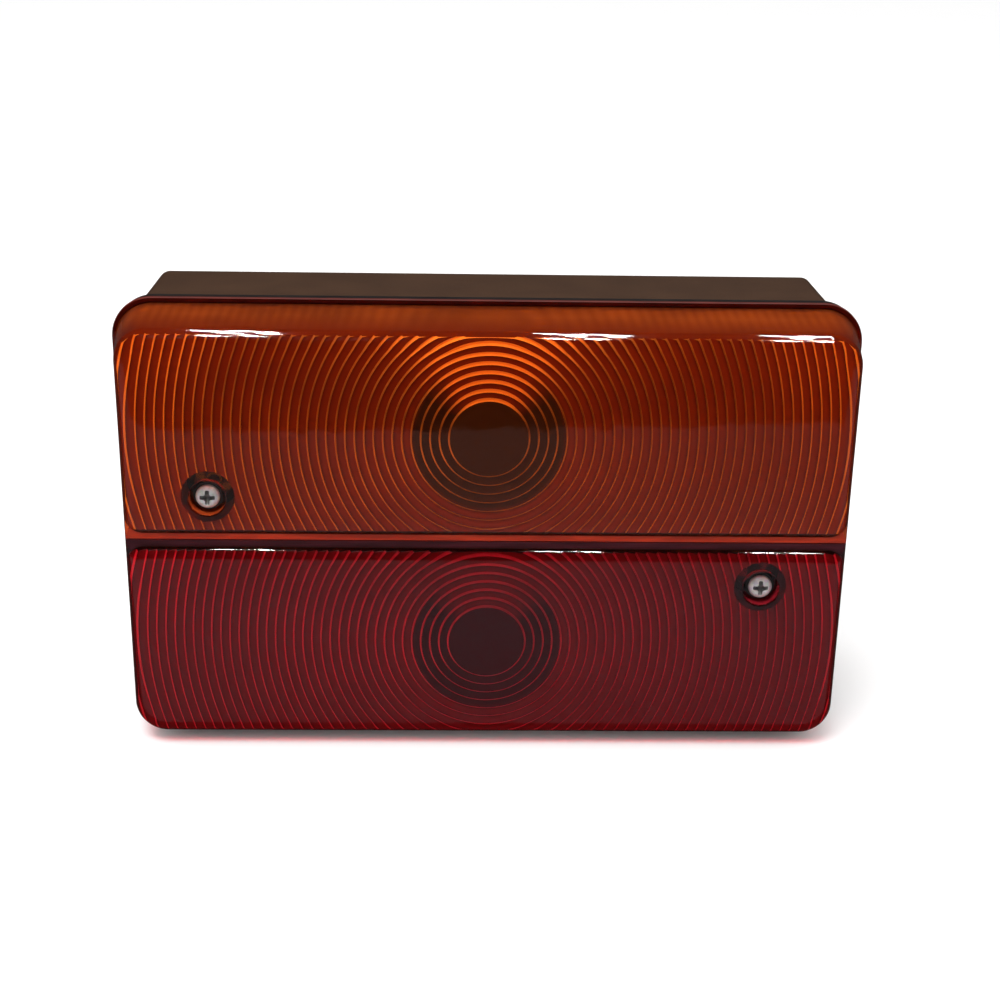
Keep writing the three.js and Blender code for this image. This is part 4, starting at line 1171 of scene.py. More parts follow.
def lens_screw(node, paints):
    """A round-headed screw. The second paint, a darker copy of the steel, is painted shade in its cross
    recess.
    """
    x, z = axis_of(node)
    low, high = corners(node)
    top, tip = low.y, high.y
    head_radius = (high.x - low.x) / 2
    slot = head_radius - 0.8
    under = top + HEAD_HEIGHT
    outline = [(0.0, top)]
    steps = 10
    for i in range(2, steps):
        angle = DOME_ANGLE * i / steps
        outline.append((head_radius * sin(angle), top + dome_fall(angle)))
    outline += [(head_radius - 0.02, top + 1.3), (head_radius, top + 1.5), (head_radius, under - 0.15),
                (head_radius - 0.15, under), (SHANK_R, under), (SHANK_R, under + 1.2), (0.0, under + 1.2)]
    head = lathe("head", outline, x, z, 72)
    combine(head, [cross_recess(x, z, top, 1.5, slot)], "DIFFERENCE")
    thread = threaded("thread", x, z, SHANK_R, SHANK_CORE_R, SHANK_PITCH, under + 0.4, tip, 3.0)
    combine(head, [thread], "UNION")
    head.name = f"{node}_machined"
    stand_in(head, node, "zinc_steel", *paints, angle=32)
    # faces inside the cross recess take the darker paint, a painted shade
    for face in head.data.polygons:
        centre = face.center / MM
        out = min(hypot(centre.x - x, centre.z - z) / head_radius, 1.0)
        if out * head_radius < slot + 0.1 and top + dome_fall(asin(out)) + 0.08 < centre.y < under:
            face.material_index = 1


def screw_seal(node, paint):
    x, z = axis_of(node)
    low, high = corners(node)
    outer, inner, thick = (high.x - low.x) / 2, SCREW_HOLE_R, high.y - low.y
    middle = (low.y + high.y) / 2
    outline = arc((outer - thick / 2, middle), thick / 2, -90, 90, 10)
    outline += arc((inner + thick / 2, middle), thick / 2, 90, 270, 10)
    stand_in(lathe(f"{node}_ring", outline, x, z), node, "black_rubber", paint)


def mounting_stud(node, x, z, paint):
    """A hexagonal head that sits in the housing's pocket, and a threaded rod out through the back."""
    low, high = corners(node)
    front, end = low.y, high.y
    outline = hexagon(STUD_HEAD_FLATS, x, z)
    eased = hexagon(STUD_HEAD_FLATS * 0.93, x, z)
    head = loft(f"{node}_bar", [(front, eased), (front + 0.5, outline), (STUD_POCKET_Y, outline)])
    combine(head, [threaded("thread", x, z, STUD_R, 2.45, 1.0, front + 1, end, 1.2)], "UNION")
    stand_in(head, node, "zinc_steel", paint, angle=32)


def plain_washer(node, x, z, paint):
    low, high = corners(node)
    outer, inner, edge = (high.x - low.x) / 2, STUD_R + GAP, 0.2
    washer = lathe(f"{node}_ring", [
        (inner, low.y), (outer - edge, low.y), (outer, low.y + edge), (outer, high.y - edge * 1.6),
        (outer - edge * 1.6, high.y), (inner + edge, high.y), (inner, high.y - edge),
    ], x, z, 72)
    stand_in(washer, node, "zinc_steel", paint)


def spring_washer(node, x, z, paint):
    """A ring with a slanting slit."""
    low, high = corners(node)
    outer, inner, edge = (high.x - low.x) / 2, STUD_R + GAP, 0.15
    coil = lathe(f"{node}_ring", [
        (inner, low.y + edge), (inner + edge, low.y), (outer - edge, low.y), (outer, low.y + edge),
        (outer, high.y - edge), (outer - edge, high.y), (inner + edge, high.y), (inner, high.y - edge),
    ], x, z, 72)
    slit = [(x + STUD_R - 1, z - 0.75), (x + outer + 1, z - 0.35), (x + outer + 1, z + 0.45),
            (x + STUD_R - 1, z + 0.05)]
    combine(coil, [loft("slit", [(low.y - 1, slit), (high.y + 1, slit)])], "DIFFERENCE")
    stand_in(coil, node, "zinc_steel", paint)


def mounting_nut(node, x, z, paint):
    """A hexagonal nut, chamfered at both ends."""
    low, high = corners(node)
    corner = STUD_HEAD_FLATS / 2 / cos(pi / 6)
    chamfer = corner - STUD_HEAD_FLATS / 2 * 0.97
    chamfer_height = chamfer * 0.58
    outline = hexagon(STUD_HEAD_FLATS, x, z)
    body = loft(f"{node}_hex", [(low.y, outline), (high.y, outline)])
    dish = lathe("dish", [
        (0, low.y), (corner - chamfer, low.y), (corner, low.y + chamfer_height),
        (corner, high.y - chamfer_height), (corner - chamfer, high.y), (0, high.y),
    ], x, z, 72)
    combine(body, [dish], "INTERSECT")
    hole, mouth = STUD_R + 0.15, STUD_R + 0.5
    bore = lathe("bore", [
        (0, low.y - 1), (4.0, low.y - 1), (mouth, low.y + 0.15), (hole, low.y + 0.6),
        (hole, high.y - 0.6), (mouth, high.y - 0.15), (4.0, high.y + 1), (0, high.y + 1),
    ], x, z, 72)
    combine(body, [bore], "DIFFERENCE")
    stand_in(body, node, "zinc_steel", paint)


def mounting_set(side, zinc_paint, steel_paint):
    stud = f"{side}_mounting_stud"
    x, z = axis_of(stud)
    mounting_stud(stud, x, z, zinc_paint)
    plain_washer(f"{side}_plain_washer", x, z, zinc_paint)
    spring_washer(f"{side}_spring_washer", x, z, steel_paint)
    mounting_nut(f"{side}_mounting_nut", x, z, zinc_paint)


# ---------------------------------------------------------------- sockets

BULB_BASE_Y = -14.5
CAP_R = 7.5
PIN_R = 1.0
PIN_REACH = 8.5
PIN_FROM_BASE = 7.1
PIN_OFFSET = 3.0
UNLOCK_ANGLE = 25.0
PRESS_TRAVEL = 2.2
SOCKET_R = CAP_R + GAP
SOCKET_WALL = 0.8
SOCKET_FRONT_Y = -29.0
SOCKET_LIP_R = 4.8
EAR_HALF_WIDTH = 4.5
EAR_END = 21.0
CONTACT_PROUD = 0.6
CONTACT_R = 1.8
CONTACT_SHANK_R = 1.1
CONTACT_OFFSET = 3.4
DISC_BACK_Y = BULB_BASE_Y + CONTACT_PROUD + 2.4
EAR_FRONT_Y = SOCKET_BACK_Y - SOCKET_WALL
STRIP_FRONT_Y = EAR_FRONT_Y - 0.8


def sector(name, z, inner, outer, start, end, y0, y1):
    """Part of a ring about the socket's axis, between two angles in degrees."""
    outline = arc((0, z), outer, start, end, 16) + arc((0, z), inner, end, start, 16)
    return loft(name, [(y0, outline), (y1, outline)])


def socket_shell(node, z, pin_ys, paint):
    """A pressed shell with two mounting ears and a bayonet window for each pin of the bulb."""
    outer = SOCKET_R + SOCKET_WALL
    bend = 0.7
    edge = 0.25
    outline = [(SOCKET_R, SOCKET_FRONT_Y + edge), (SOCKET_R + edge, SOCKET_FRONT_Y),
               (outer - edge, SOCKET_FRONT_Y), (outer, SOCKET_FRONT_Y + edge)]
    outline += arc((outer - bend, SOCKET_BACK_Y - bend), bend, 0, 90, 6)
    outline += [(SOCKET_LIP_R, SOCKET_BACK_Y), (SOCKET_LIP_R, EAR_FRONT_Y), (SOCKET_R, EAR_FRONT_Y)]
    shell = lathe(f"{node}_pressing", outline, 0, z, 120)
    ears = []
    for side in (1, -1):
        span = sorted((side * (SOCKET_R + 0.3), side * EAR_END))
        radii = (1, 4.4, 4.4, 1) if side > 0 else (4.4, 1, 1, 4.4)
        outline = rounded(-EAR_HALF_WIDTH, EAR_HALF_WIDTH, z + span[0], z + span[1], radii, 10)
        ears.append(loft("ear", [(EAR_FRONT_Y, outline), (SOCKET_BACK_Y, outline)]))
    combine(shell, ears, "UNION")
    half = degrees(asin((PIN_R + GAP) / SOCKET_R))
    cutters = [rod("ear_hole", 0, z + side * RIVET_OFFSET, RIVET_R + GAP, EAR_FRONT_Y - 1, SOCKET_BACK_Y + 1)
               for side in (1, -1)]
    mouth = SOCKET_FRONT_Y - 1
    for index, pin_y in enumerate(pin_ys):
        start = 180 * index
        entry = start + UNLOCK_ANGLE
        front = pin_y - PIN_R - GAP
        back = pin_y + PRESS_TRAVEL + PIN_R + GAP
        radii = SOCKET_R - 1, outer + 1
        cutters.append(sector("window", z, *radii, start - half, entry + half, front, back))
        cutters.append(sector("entry", z, *radii, entry - half, entry + half, mouth, back))
    combine(shell, cutters, "DIFFERENCE")
    shell.name = f"{node}_pressing"
    stand_in(shell, node, "nickel_brass", paint)


def contact_disc(node, z, contact_xs, paint):
    low, high = corners(node)
    edge = 0.25
    disc = lathe(f"{node}_blank", [(0, low.y), (CAP_R - edge, low.y), (CAP_R, low.y + edge),
                                   (CAP_R, high.y - edge), (CAP_R - edge, high.y), (0, high.y)], 0, z, 96)
    holes = [rod("hole", x, z, CONTACT_SHANK_R + 0.2, low.y - 1, high.y + 1) for x in contact_xs]
    combine(disc, holes, "DIFFERENCE")
    disc.name = f"{node}_blank"
    stand_in(disc, node, "phenolic", paint)


def socket_contact(node, paint):
    """A solid brass contact with a domed face, headed over behind the disc."""
    x, z = axis_of(node)
    low, high = corners(node)
    face = BULB_BASE_Y + CONTACT_PROUD
    outline = [(0, low.y), (0.9, low.y + 0.02), (1.4, low.y + 0.12), (CONTACT_R - 0.1, low.y + 0.3),
               (CONTACT_R, face), (CONTACT_SHANK_R, face), (CONTACT_SHANK_R, high.y - 0.3),
               (CONTACT_SHANK_R - 0.3, high.y), (0, high.y)]
    stand_in(lathe(f"{node}_rivet", outline, x, z, 48), node, "brass", paint)


def socket_spring(node, z, paint):
    """The spring that pushes the contact disc forwards."""
    low, high = corners(node)
    wire = 0.35
    radius = (high.x - low.x) / 2 - wire
    front, back = low.y + wire, high.y - wire
    turns = 2.6
    obj = tube(f"{node}_coil", helix(0, z, radius, front, back, turns), wire, 12)
    stand_in(obj, node, "spring_steel", paint, angle=50)
    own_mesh(obj)


def rivet(node, paint):
    """A tubular rivet: a round head in front, its hollow end rolled over behind."""
    x, z = axis_of(node)
    low, high = corners(node)
    front, back = low.y, high.y
    head = front + 1.0
    pocket = -RIVET_POCKET
    outline = [(0, front), (1.1, front + 0.02), (2.1, front + 0.22), (2.65, front + 0.55),
               (2.8, front + 0.85), (2.75, head), (RIVET_R, head), (RIVET_R, pocket), (2.55, pocket),
               (2.6, pocket + 0.25), (2.3, pocket + 0.65), (1.7, back), (1.2, back - 0.12), (0.9, back - 0.5),
               (0.85, pocket - 1.6), (0, pocket - 1.8)]
    stand_in(lathe(f"{node}_turned", outline, x, z, 56), node, "brass", paint)


def earth_strip(node, paint):
    """The strip under the two inner rivets that joins the sockets, with a solder tab."""
    reach = BULB_Z - RIVET_OFFSET + 4
    strip_outline = rounded(-4, 4, -reach, reach, (3.6,) * 4, 10)
    tab_outline = rounded(0, 12.5, -9, -4, (1.6, 1.6, 0.3, 0.3), 6)
    strip = loft(f"{node}_pressing", [(STRIP_FRONT_Y, strip_outline), (EAR_FRONT_Y, strip_outline)])
    tab = loft("tab", [(STRIP_FRONT_Y, tab_outline), (EAR_FRONT_Y, tab_outline)])
    combine(strip, [tab], "UNION")
    holes = [rod("hole", 0, side * (BULB_Z - RIVET_OFFSET), RIVET_R + GAP, STRIP_FRONT_Y - 1, EAR_FRONT_Y + 1)
             for side in (1, -1)]
    holes.append(rod("solder_hole", 10.4, -6.5, 0.7, STRIP_FRONT_Y - 1, EAR_FRONT_Y + 1, 24))
    combine(strip, holes, "DIFFERENCE")
    strip.name = f"{node}_pressing"
    stand_in(strip, node, "brass", paint)


# ---------------------------------------------------------------- bulbs

BULB_LENGTH = 49.0
BULB_R = 12.5
CAP_START = 3.0
CAP_LENGTH = 14.5
CAP_WALL = 0.45
CAP_RING = 0.6  # the ring pressed into the cap stands in this far
STEM_TOP = 27.5
MAIN_FILAMENT = (38.5, 4.5)  # how far it is from the base, and half its length
TAIL_FILAMENT = (35.0, 3.8)


def from_base(distance):
    """The y of a point on a bulb, from the plane where the contacts meet."""
    return BULB_BASE_Y - distance


def glass_outline(shrink, steps=18):
    """The envelope as (radius, distance from the base): a straight neck, a smooth flare and a ball."""
    centre = BULB_LENGTH - BULB_R
    neck = 6.7 - shrink
    join_angle = radians(50)
    ball = BULB_R - shrink
    meet = (ball * cos(join_angle), centre - ball * sin(join_angle))
    handle = 2.6
    bend = (meet[0] - handle * sin(join_angle), meet[1] - handle * cos(join_angle))
    knots = [(neck, 19.0), (neck, 22.0), bend, meet]
    outline = [(neck, 14.5)]
    for i in range(steps + 1):
        t = i / steps
        weights = [(1 - t) ** 3, 3 * t * (1 - t) ** 2, 3 * t * t * (1 - t), t ** 3]
        outline.append(tuple(sum(w * k[axis] for w, k in zip(weights, knots)) for axis in (0, 1)))
    for i in range(1, steps + 1):
        angle = -join_angle + i / steps * (pi / 2 + join_angle)
        outline.append((ball * cos(angle) if i < steps else 0.0, centre + ball * sin(angle)))
    return outline


def bulb_glass(node, z, paint):
    outer = [(r, from_base(s)) for r, s in glass_outline(0.0)]
    inner = [(r, from_base(s)) for r, s in glass_outline(0.7)]
    stand_in(lathe(f"{node}_envelope", outer[::-1] + inner, 0, z, 96), node, "clear_glass", paint, angle=60)


def bulb_cap(node, z, pin_offsets, paint):
    """The nickelled cap with a rolled mouth, a ring pressed into it and two bayonet pins."""
    base, end = from_base(CAP_START), from_base(CAP_START + CAP_LENGTH)
    inner = CAP_R - CAP_WALL
    ring = inner - CAP_RING
    bend = 0.8
    outline = [(inner, end + 0.1), (CAP_R - 0.2, end), (CAP_R, end + 0.2), (CAP_R, end + 1.4),
               (CAP_R - 0.16, end + 1.8), (CAP_R, end + 2.2)]
    outline += arc((CAP_R - bend, base - bend), bend, 0, 90, 6)
    outline += [(ring, base), (ring, base - CAP_WALL), (inner, base - CAP_WALL - CAP_RING)]
    cap = lathe(f"{node}_pressing", outline, 0, z, 96)
    pins = []
    for index, offset in enumerate(pin_offsets):
        side = 1 if index == 0 else -1
        y = from_base(PIN_FROM_BASE + offset)
        pin = lathe("pin", [(0, -1.45), (PIN_R, -1.45), (PIN_R, -0.2), (PIN_R - 0.2, 0), (0, 0)], 0, 0, 32)
        pin.data.transform(Matrix.Rotation(radians(-90 * side), 4, "Z"))
        pin.data.transform(Matrix.Translation(Vector((side * PIN_REACH, y, z)) * MM))
        pins.append(tidy(pin))
    combine(cap, pins, "UNION")
    cap.name = f"{node}_pressing"
    stand_in(cap, node, "nickel_brass", paint)


def bulb_insulator(node, z, contact_xs, paint):
    """The glass bead in the cap's base, with a well for each contact."""
    mouth = CAP_R - CAP_WALL - CAP_RING - GAP
    front, seat = from_base(0.7), from_base(CAP_START - 0.1)
    back = from_base(CAP_START + 1.6)
    outline = [(0, back), (mouth, back), (mouth, seat), (mouth - 0.25, seat + 0.2), (5.2, (seat + front) / 2),
               (4.7, front - 0.2), (4.3, front), (0, front)]
    body = lathe(f"{node}_bead", outline, 0, z, 72)
    well_end = from_base(CAP_START + 3)
    wells = [rod("well", x, z, CONTACT_SHANK_R + 0.2, well_end, front + 1, 32) for x in contact_xs]
    combine(body, wells, "DIFFERENCE")
    body.name = f"{node}_bead"
    stand_in(body, node, "black_glass", paint)


def bulb_contact(node, paint):
    """A blob of solder over the end of a lead-in wire."""
    x, z = axis_of(node)
    foot, end = from_base(0.7), from_base(CAP_START + 1)
    outline = [(0, end), (CONTACT_SHANK_R, end), (CONTACT_SHANK_R, foot), (CONTACT_R - 0.1, foot),
               (CONTACT_R - 0.16, foot + 0.25), (1.3, foot + 0.5), (0.75, foot + 0.66), (0, BULB_BASE_Y)]
    stand_in(lathe(f"{node}_blob", outline, x, z, 40), node, "solder", paint, angle=60)


def bulb_stem(node, z, paint):
    """The glass foot, pinched flat at the top round the lead-in wires."""
    low, high = corners(node)
    outline = [(0, low.y), (1.7, low.y + 0.05), (2.15, low.y + 0.5), (2.3, low.y + 2.5), (2.6, low.y + 5),
               (3.4, low.y + 7.6), (4.6, high.y - 0.9), (5.2, high.y), (0, high.y)]
    stem = lathe(f"{node}_foot", outline, 0, z, 56)
    reach = 5.0
    for point in stem.data.vertices:
        share = max(0.0, min(1.0, 1 - (point.co.y / MM - low.y) / reach))
        middle = z * MM
        point.co.z = middle + (point.co.z - middle) * (1 - 0.45 * share)
    stand_in(stem, node, "clear_glass", paint, angle=60)


def filament(node, depth, half_span, paint):
    """Two lead-in wires and the coiled filament between them."""
    low, high = corners(node)
    foot, wire = 1.5, 0.22
    root, height = from_base(STEM_TOP) - 0.35, from_base(depth)
    knee = root - 3
    level = (low.z + high.z) / 2
    reach = half_span - 0.35
    coil_r, coil_wire, turns = 0.42, 0.1, 15
    pieces = turns * 14
    path = []
    for i in range(pieces + 1):
        t = i / pieces
        angle = TURN * turns * t
        path.append((-reach + 2 * reach * t, height + 0.12 + coil_r * cos(angle) - coil_r * 0.6,
                     level + coil_r * sin(angle) * 0.6))
    coil = tube(f"{node}_wires", path, coil_wire, 6)
    supports = []
    for side in (-1, 1):
        path = spline([
            (side * foot, root, level),
            (side * foot, knee, level),
            (side * (half_span - 0.3), height + 1.6, level),
            (side * (half_span - 0.25), height + 0.35, level),
            (side * (reach - 0.4), height + 0.3, level),
        ], 6)
        supports.append(tube("support", path, wire, 10))
    combine(coil, supports, "UNION")
    coil.name = f"{node}_wires"
    stand_in(coil, node, "tungsten", paint, angle=60)


# ---------------------------------------------------------------- leads and grommet

LEAD_R = 0.9
LEAD_Y = -4.4
TAIL_Y = DISC_BACK_Y + 1.3
LEAD_END_Y = -7.9
SLOT_OFFSET = 1.2

# the bends of each lead, from its solder joint to the grommet
ROUTES = {
    "indicator_lead": [
        (0, TAIL_Y, BULB_Z), (0, -7.2, BULB_Z), (1.6, -4.9, BULB_Z - 0.6), (6, LEAD_Y, BULB_Z - 2),
        (24, LEAD_Y, 22), (42, LEAD_Y, 10), (INDICATOR_LEAD_X, LEAD_Y, 2),
        (INDICATOR_LEAD_X + 0.5, LEAD_Y, -12), (49, -5.2, -24), (45, -8.5, -31), (40.5, -10.2, -31.8),
        (CABLE_X + SLOT_OFFSET + 0.4, -9.8, CABLE_Z - SLOT_OFFSET),
        (CABLE_X + SLOT_OFFSET, LEAD_END_Y, CABLE_Z - SLOT_OFFSET)],
    "stop_lead": [
        (CONTACT_OFFSET, TAIL_Y, -BULB_Z), (CONTACT_OFFSET, -7.2, -BULB_Z), (4.6, -4.9, -BULB_Z + 0.4),
        (8, LEAD_Y, -28.6), (19, LEAD_Y, -28.4), (23.5, -5.4, -28.4), (27, -7.6, -28.5), (31, -10, -28.7),
        (34, -9.9, CABLE_Z + SLOT_OFFSET), (CABLE_X - SLOT_OFFSET, LEAD_END_Y, CABLE_Z + SLOT_OFFSET)],
    "tail_lead": [
        (-CONTACT_OFFSET, TAIL_Y, -BULB_Z), (-CONTACT_OFFSET, -7.2, -BULB_Z), (-2.4, -4.9, -BULB_Z - 1),
        (1, LEAD_Y, -32.2), (19, LEAD_Y, -31.8), (23.5, -5.4, -31.7), (27, -7.6, -31.5), (31, -10, -31.4),
        (34, -9.9, CABLE_Z - SLOT_OFFSET), (CABLE_X - SLOT_OFFSET, LEAD_END_Y, CABLE_Z - SLOT_OFFSET)],
    "earth_lead": [
        (12.8, LEAD_Y - 2.8, -6.5), (16, -6.6, -6.9), (22, LEAD_Y, -8.5), (31, LEAD_Y, -13), (36, -5.4, -18),
        (37.4, -9, -23.5), (CABLE_X + SLOT_OFFSET + 0.2, -10.2, -27),
        (CABLE_X + SLOT_OFFSET, LEAD_END_Y, CABLE_Z + SLOT_OFFSET)],
}


def lead(node, slot, paint, solder_paint, plunger=None):
    """An insulated lead. Its first stretch, soldered to a moving contact, is made as a piece of its own with
    the solder joint.
    """
    path = spline(ROUTES[node], 8)
    if plunger is None:
        stand_in(tube(f"{node}_wire", path, LEAD_R, 20), node, slot, paint, angle=50)
        return
    parting = next(i for i, p in enumerate(path) if p.y > LEAD_Y - 0.35)
    stand_in(tube(f"{node}_wire", path[parting:], LEAD_R, 20), node, slot, paint, angle=50)
    end = tube(f"{node}_end", path[:parting + 1], LEAD_R, 20)
    start_x, start_y, start_z = path[0]
    joint = lathe("solder", [(0, start_y - 0.34), (1.0, start_y - 0.3), (1.12, start_y + 0.1),
                             (0.98, start_y + 0.6), (0, start_y + 0.7)], start_x, start_z, 40)
    combine(end, [joint], "UNION")
    end.name = f"{node}_end"
    end.data.materials.clear()
    end.data.materials.append(paint)
    end.data.materials.append(solder_paint)
    for face in end.data.polygons:
        face.material_index = 1 if face.center.y / MM < start_y + 0.62 else 0
    smooth(end, 50)
    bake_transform(end)


def grommet(node, paint):
    low, high = corners(node)
    bore = 3.5
    outline = [
        (bore, low.y + 0.4), (bore + 0.4, low.y), (GROMMET_R - 1.4, low.y),
        (GROMMET_R - 0.5, low.y + 0.5), (GROMMET_R, low.y + 1.3), (GROMMET_R, CABLE_PAD_Y - 0.2),
        (GROMMET_R - 0.2, CABLE_PAD_Y), (GROMMET_NECK_R, CABLE_PAD_Y), (GROMMET_NECK_R, -GROMMET_POCKET),
        (GROMMET_R - 0.15, -GROMMET_POCKET), (GROMMET_R, -GROMMET_POCKET + 0.2), (GROMMET_R, high.y - 0.8),
        (GROMMET_R - 0.25, high.y - 0.25), (GROMMET_R - 0.8, high.y), (bore + 0.5, high.y),
        (bore, high.y - 0.5),
    ]
    stand_in(lathe(f"{node}_ring", outline, CABLE_X, CABLE_Z, 96), node, "black_rubber", paint)


# ---------------------------------------------------------------- everything inside and behind the lens


def fittings():
    rubber_paint, zinc_paint, steel_paint = rubber(), zinc(), spring_steel()
    # the second zinc is a darkened copy, painted shade for the screws' cross recesses
    screw_paints = zinc("screw_steel", 0.70, 1.15), zinc("recess_painted_shade", 0.8, 0.35)
    nickel_paint, brass_paint, phenolic_paint = nickel_brass(), brass(), phenolic()
    glass_paint, bead_paint, solder_paint, tungsten_paint = clear_glass(), black_glass(), solder(), tungsten()

    for section in ("amber", "red"):
        lens_screw(f"{section}_lens_screw", screw_paints)
        screw_seal(f"{section}_screw_seal", rubber_paint)
    for side in ("left", "right"):
        mounting_set(side, zinc_paint, steel_paint)

    sockets = [
        ("indicator", BULB_Z, {"indicator": 0.0}, (0.0, 0.0)),
        ("stop_tail", -BULB_Z, {"stop": CONTACT_OFFSET, "tail": -CONTACT_OFFSET}, (0.0, PIN_OFFSET)),
    ]
    for name, z, contacts, pin_offsets in sockets:
        xs = list(contacts.values())
        pin_ys = [from_base(PIN_FROM_BASE + offset) for offset in pin_offsets]
        socket_shell(f"{name}_socket_shell", z, pin_ys, nickel_paint)
        contact_disc(f"{name}_contact_disc", z, xs, phenolic_paint)
        socket_spring(f"{name}_socket_spring", z, steel_paint)
        bulb_glass(f"{name}_bulb_glass", z, glass_paint)
        bulb_cap(f"{name}_bulb_cap", z, pin_offsets, nickel_paint)
        bulb_insulator(f"{name}_bulb_insulator", z, xs, bead_paint)
        bulb_stem(f"{name}_bulb_stem", z, glass_paint)
        for circuit in contacts:
            socket_contact(f"{circuit}_socket_contact", brass_paint)
            bulb_contact(f"{circuit}_bulb_contact", solder_paint)
    filament("indicator_filament", *MAIN_FILAMENT, tungsten_paint)
    filament("stop_filament", *MAIN_FILAMENT, tungsten_paint)
    filament("tail_filament", *TAIL_FILAMENT, tungsten_paint)

    for name in ("indicator_outer", "indicator_inner", "stop_tail_inner", "stop_tail_outer"):
        rivet(f"{name}_rivet", brass_paint)
    earth_strip("earth_strip", brass_paint)

    green = cable_plastic("green_lead", (0.012, 0.10, 0.025), (0.025, 0.17, 0.045))
    red = cable_plastic("red_lead", (0.30, 0.012, 0.010), (0.42, 0.022, 0.016))
    brown = cable_plastic("brown_lead", (0.075, 0.028, 0.010), (0.12, 0.047, 0.018))
    white = cable_plastic("white_lead", (0.62, 0.60, 0.55), (0.74, 0.72, 0.67))
    lead("indicator_lead", "green_lead", green, solder_paint, "indicator_plunger")
    lead("stop_lead", "red_lead", red, solder_paint, "stop_tail_plunger")
    lead("tail_lead", "brown_lead", brown, solder_paint, "stop_tail_plunger")
    lead("earth_lead", "white_lead", white, solder_paint)
    grommet("cable_grommet", rubber_paint)


# ---------------------------------------------------------------- camera, floor and light

CAMERA_LENS = 62.3  # on a 36 mm wide sensor
CAMERA_ELEVATION = 21.3
CAMERA_YAW = 1.60
CAMERA_ROLL = -0.99
CAMERA_DISTANCE = 459.29  # to the middle of the amber rings, along the line of sight
RINGS_RIGHT, RINGS_UP = -2.884, 16.694  # where the middle of the amber rings lies, from that line


def camera():
    rings = Vector((0.0, FACE_Y + 3, BULB_Z)) * MM
    elevation, yaw, roll = (radians(a) for a in (CAMERA_ELEVATION, CAMERA_YAW, CAMERA_ROLL))
    forward = Vector((sin(yaw) * cos(elevation), cos(yaw) * cos(elevation), -sin(elevation)))
    right = Vector((cos(yaw), -sin(yaw), 0.0))
    up = right.cross(forward)
    right, up = right * cos(roll) - up * sin(roll), right * sin(roll) + up * cos(roll)
    place = rings - (right * RINGS_RIGHT + up * RINGS_UP + forward * CAMERA_DISTANCE) * MM
    data = bpy.data.cameras.new("camera")
    data.sensor_width = 36.0
    data.lens = CAMERA_LENS
    data.clip_start = 0.01
    obj = bpy.data.objects.new("camera", data)
    bpy.context.scene.collection.objects.link(obj)
    obj.matrix_world = Matrix.Translation(place) @ Matrix((right, up, -forward)).transposed().to_4x4()
    bpy.context.scene.camera = obj


def floor_paint():
    paint = Paint("pale_floor")
    paint.set(Base_Color=(0.97, 0.97, 0.97, 1.0), Specular_IOR_Level=0.1)
    paint.use("Roughness", paint.between(paint.noise(30.0, 3.0), 0.7, 0.85))
    return paint.material


def stage_piece(name, points, paint):
    obj = make(name, points, [list(range(len(points)))])
    obj.data.materials.append(paint)
    return obj


def area_light(name, place, aim, size, power, turn=0.0):
    data = bpy.data.lights.new(name, "AREA")
    data.shape = "RECTANGLE"
    data.size, data.size_y = (s * MM for s in size)
    data.energy = power
    obj = bpy.data.objects.new(name, data)
    bpy.context.scene.collection.objects.link(obj)
    obj.location = Vector(place) * MM
    obj.rotation_mode = "QUATERNION"
    facing = (Vector(aim) * MM - obj.location).to_track_quat("-Z", "Y")
    obj.rotation_quaternion = facing @ Quaternion((0.0, 0.0, 1.0), radians(turn))
    return obj


def reflected_only(obj):
    """Keeps a stage piece for reflections alone, out of sight and out of the lamp's light."""
    obj.visible_camera = False
    obj.visible_diffuse = False
    obj.visible_shadow = False
    obj.visible_transmission = False
    return obj


def card_paint(name, colour):
    paint = Paint(name)
    paint.set(Base_Color=(*colour, 1.0), Roughness=0.9, Specular_IOR_Level=0.0)
    return paint.material


def graded_card(near_y, far_y, near, far):
    """A card whose colour changes with its distance in front of the lamp."""
    paint = Paint("graded_card")
    paint.set(Roughness=0.9, Specular_IOR_Level=0.0)
    share = shares(paint, paint.along("Y"), far_y * MM, near_y * MM)
    paint.use("Base Color", paint.ramp(share, [(0.25, far), (0.70, near)]))
    return paint.material


ROOM_SIDE = 2600  # from the middle of the room to a side wall or the back wall
ROOM_FRONT_Y = -2500
ROOM_TOP = 2600
PALE_NEAR_Y = -82
PALE_FAR_Y = -356  # where the pale card ends straight in front of the lamp, and the dark card starts
CARD_BULGE = 140  # how much nearer that edge comes at the room's sides


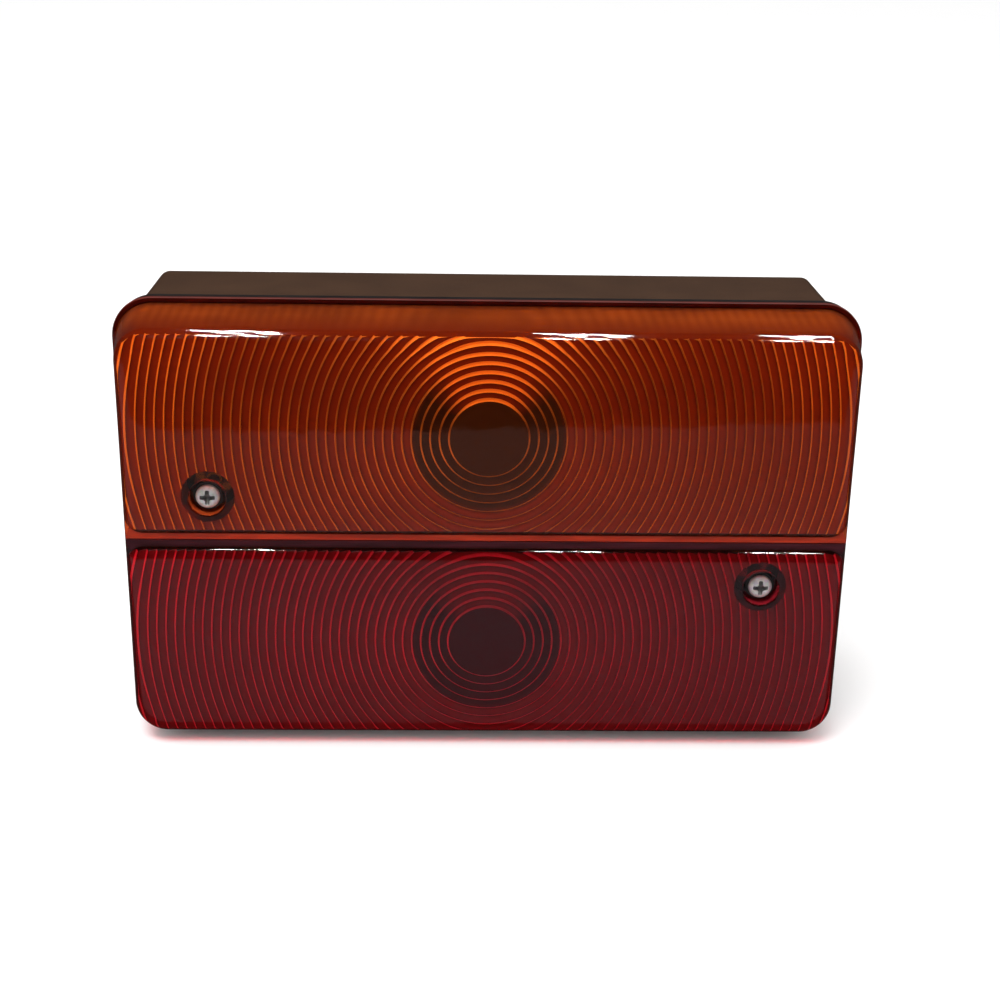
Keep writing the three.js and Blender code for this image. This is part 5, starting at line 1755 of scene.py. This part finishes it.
def surroundings(ground):
    """A dim room for the glossy plastic to reflect, with a pale and a dark card on its floor."""
    level, lower = ground + 0.02, ground + 0.01
    dim = card_paint("dim_card", (0.050, 0.030, 0.028))
    plan = [(-ROOM_SIDE, ROOM_FRONT_Y), (ROOM_SIDE, ROOM_FRONT_Y), (ROOM_SIDE, ROOM_SIDE),
            (-ROOM_SIDE, ROOM_SIDE)]
    reflected_only(stage_piece("dim_floor", [(x, y, lower) for x, y in plan], dim))
    reflected_only(stage_piece("dim_ceiling", [(x, y, ROOM_TOP) for x, y in plan], dim))
    for i in range(4):
        (x0, y0), (x1, y1) = plan[i], plan[(i + 1) % 4]
        wall = [(x0, y0, lower), (x1, y1, lower), (x1, y1, ROOM_TOP), (x0, y0, ROOM_TOP)]
        reflected_only(stage_piece(f"dim_wall_{i}", wall, dim))
    rounds = 64
    reach = ROOM_SIDE - 1
    curve = []
    for i in range(rounds + 1):
        angle = pi * i / rounds
        y = PALE_FAR_Y + CARD_BULGE - CARD_BULGE * sin(angle) ** 0.5
        curve.append((reach * cos(angle), y, level))
    pale = [(-reach, PALE_NEAR_Y, level), (reach, PALE_NEAR_Y, level), *curve]
    pale_paint = graded_card(PALE_NEAR_Y, PALE_FAR_Y, (0.250, 0.200, 0.220), (0.170, 0.130, 0.120))
    reflected_only(stage_piece("pale_card", pale, pale_paint))
    dark = [(-reach, ROOM_FRONT_Y + 1, level), (reach, ROOM_FRONT_Y + 1, level), *curve]
    reflected_only(stage_piece("dark_card", dark, card_paint("dark_card", (0.02, 0.017, 0.016))))


FLOOR_REACH = 6000
STRIP_PAIRS_X = (-211, 97, 301)
STRIP_SPREAD = 18  # each strip is this far to one side of its pair's middle
STRIP_Z = 950
STRIP_TURN = 6
# name, y, width and length, and power
STRIPS = [("back_strip", 120, (13, 400), 2.6), ("front_strip", -330, (15, 150), 1.0)]


def soft_lights():
    """The wide lights, which polished surfaces do not show."""
    target = (0, FACE_Y, 0)
    area_light("key", (-250, -500, 900), target, (500, 300), 6.5).visible_glossy = False
    area_light("overhead", (100, 120, 960), target, (600, 400), 1.5).visible_glossy = False


def strip_lights():
    """Pairs of narrow strips, which only polished surfaces show."""
    for middle in STRIP_PAIRS_X:
        for x in (middle - STRIP_SPREAD, middle + STRIP_SPREAD):
            for name, y, size, power in STRIPS:
                strip = area_light(name, (x, y, STRIP_Z), (x, FACE_Y, 0), size, power, STRIP_TURN)
                strip.visible_diffuse = False


def studio():
    ground = -HALF_HEIGHT - 0.05
    corner_signs = [(-1, -1), (1, -1), (1, 1), (-1, 1)]
    stage_piece("floor", [(x * FLOOR_REACH, y * FLOOR_REACH, ground) for x, y in corner_signs], floor_paint())
    surroundings(ground)

    world = bpy.data.worlds.new("studio")
    world.use_nodes = True
    sky = world.node_tree.nodes["Background"]
    sky.inputs["Color"].default_value = (1.0, 1.0, 1.0, 1.0)
    sky.inputs["Strength"].default_value = 1.06
    bpy.context.scene.world = world

    soft_lights()
    strip_lights()


def view_settings():
    scene = bpy.context.scene
    scene.view_settings.view_transform = "Standard"
    scene.view_settings.look = "None"


camera()
studio()
view_settings()
lenses()
housing()
gasket()
fittings()
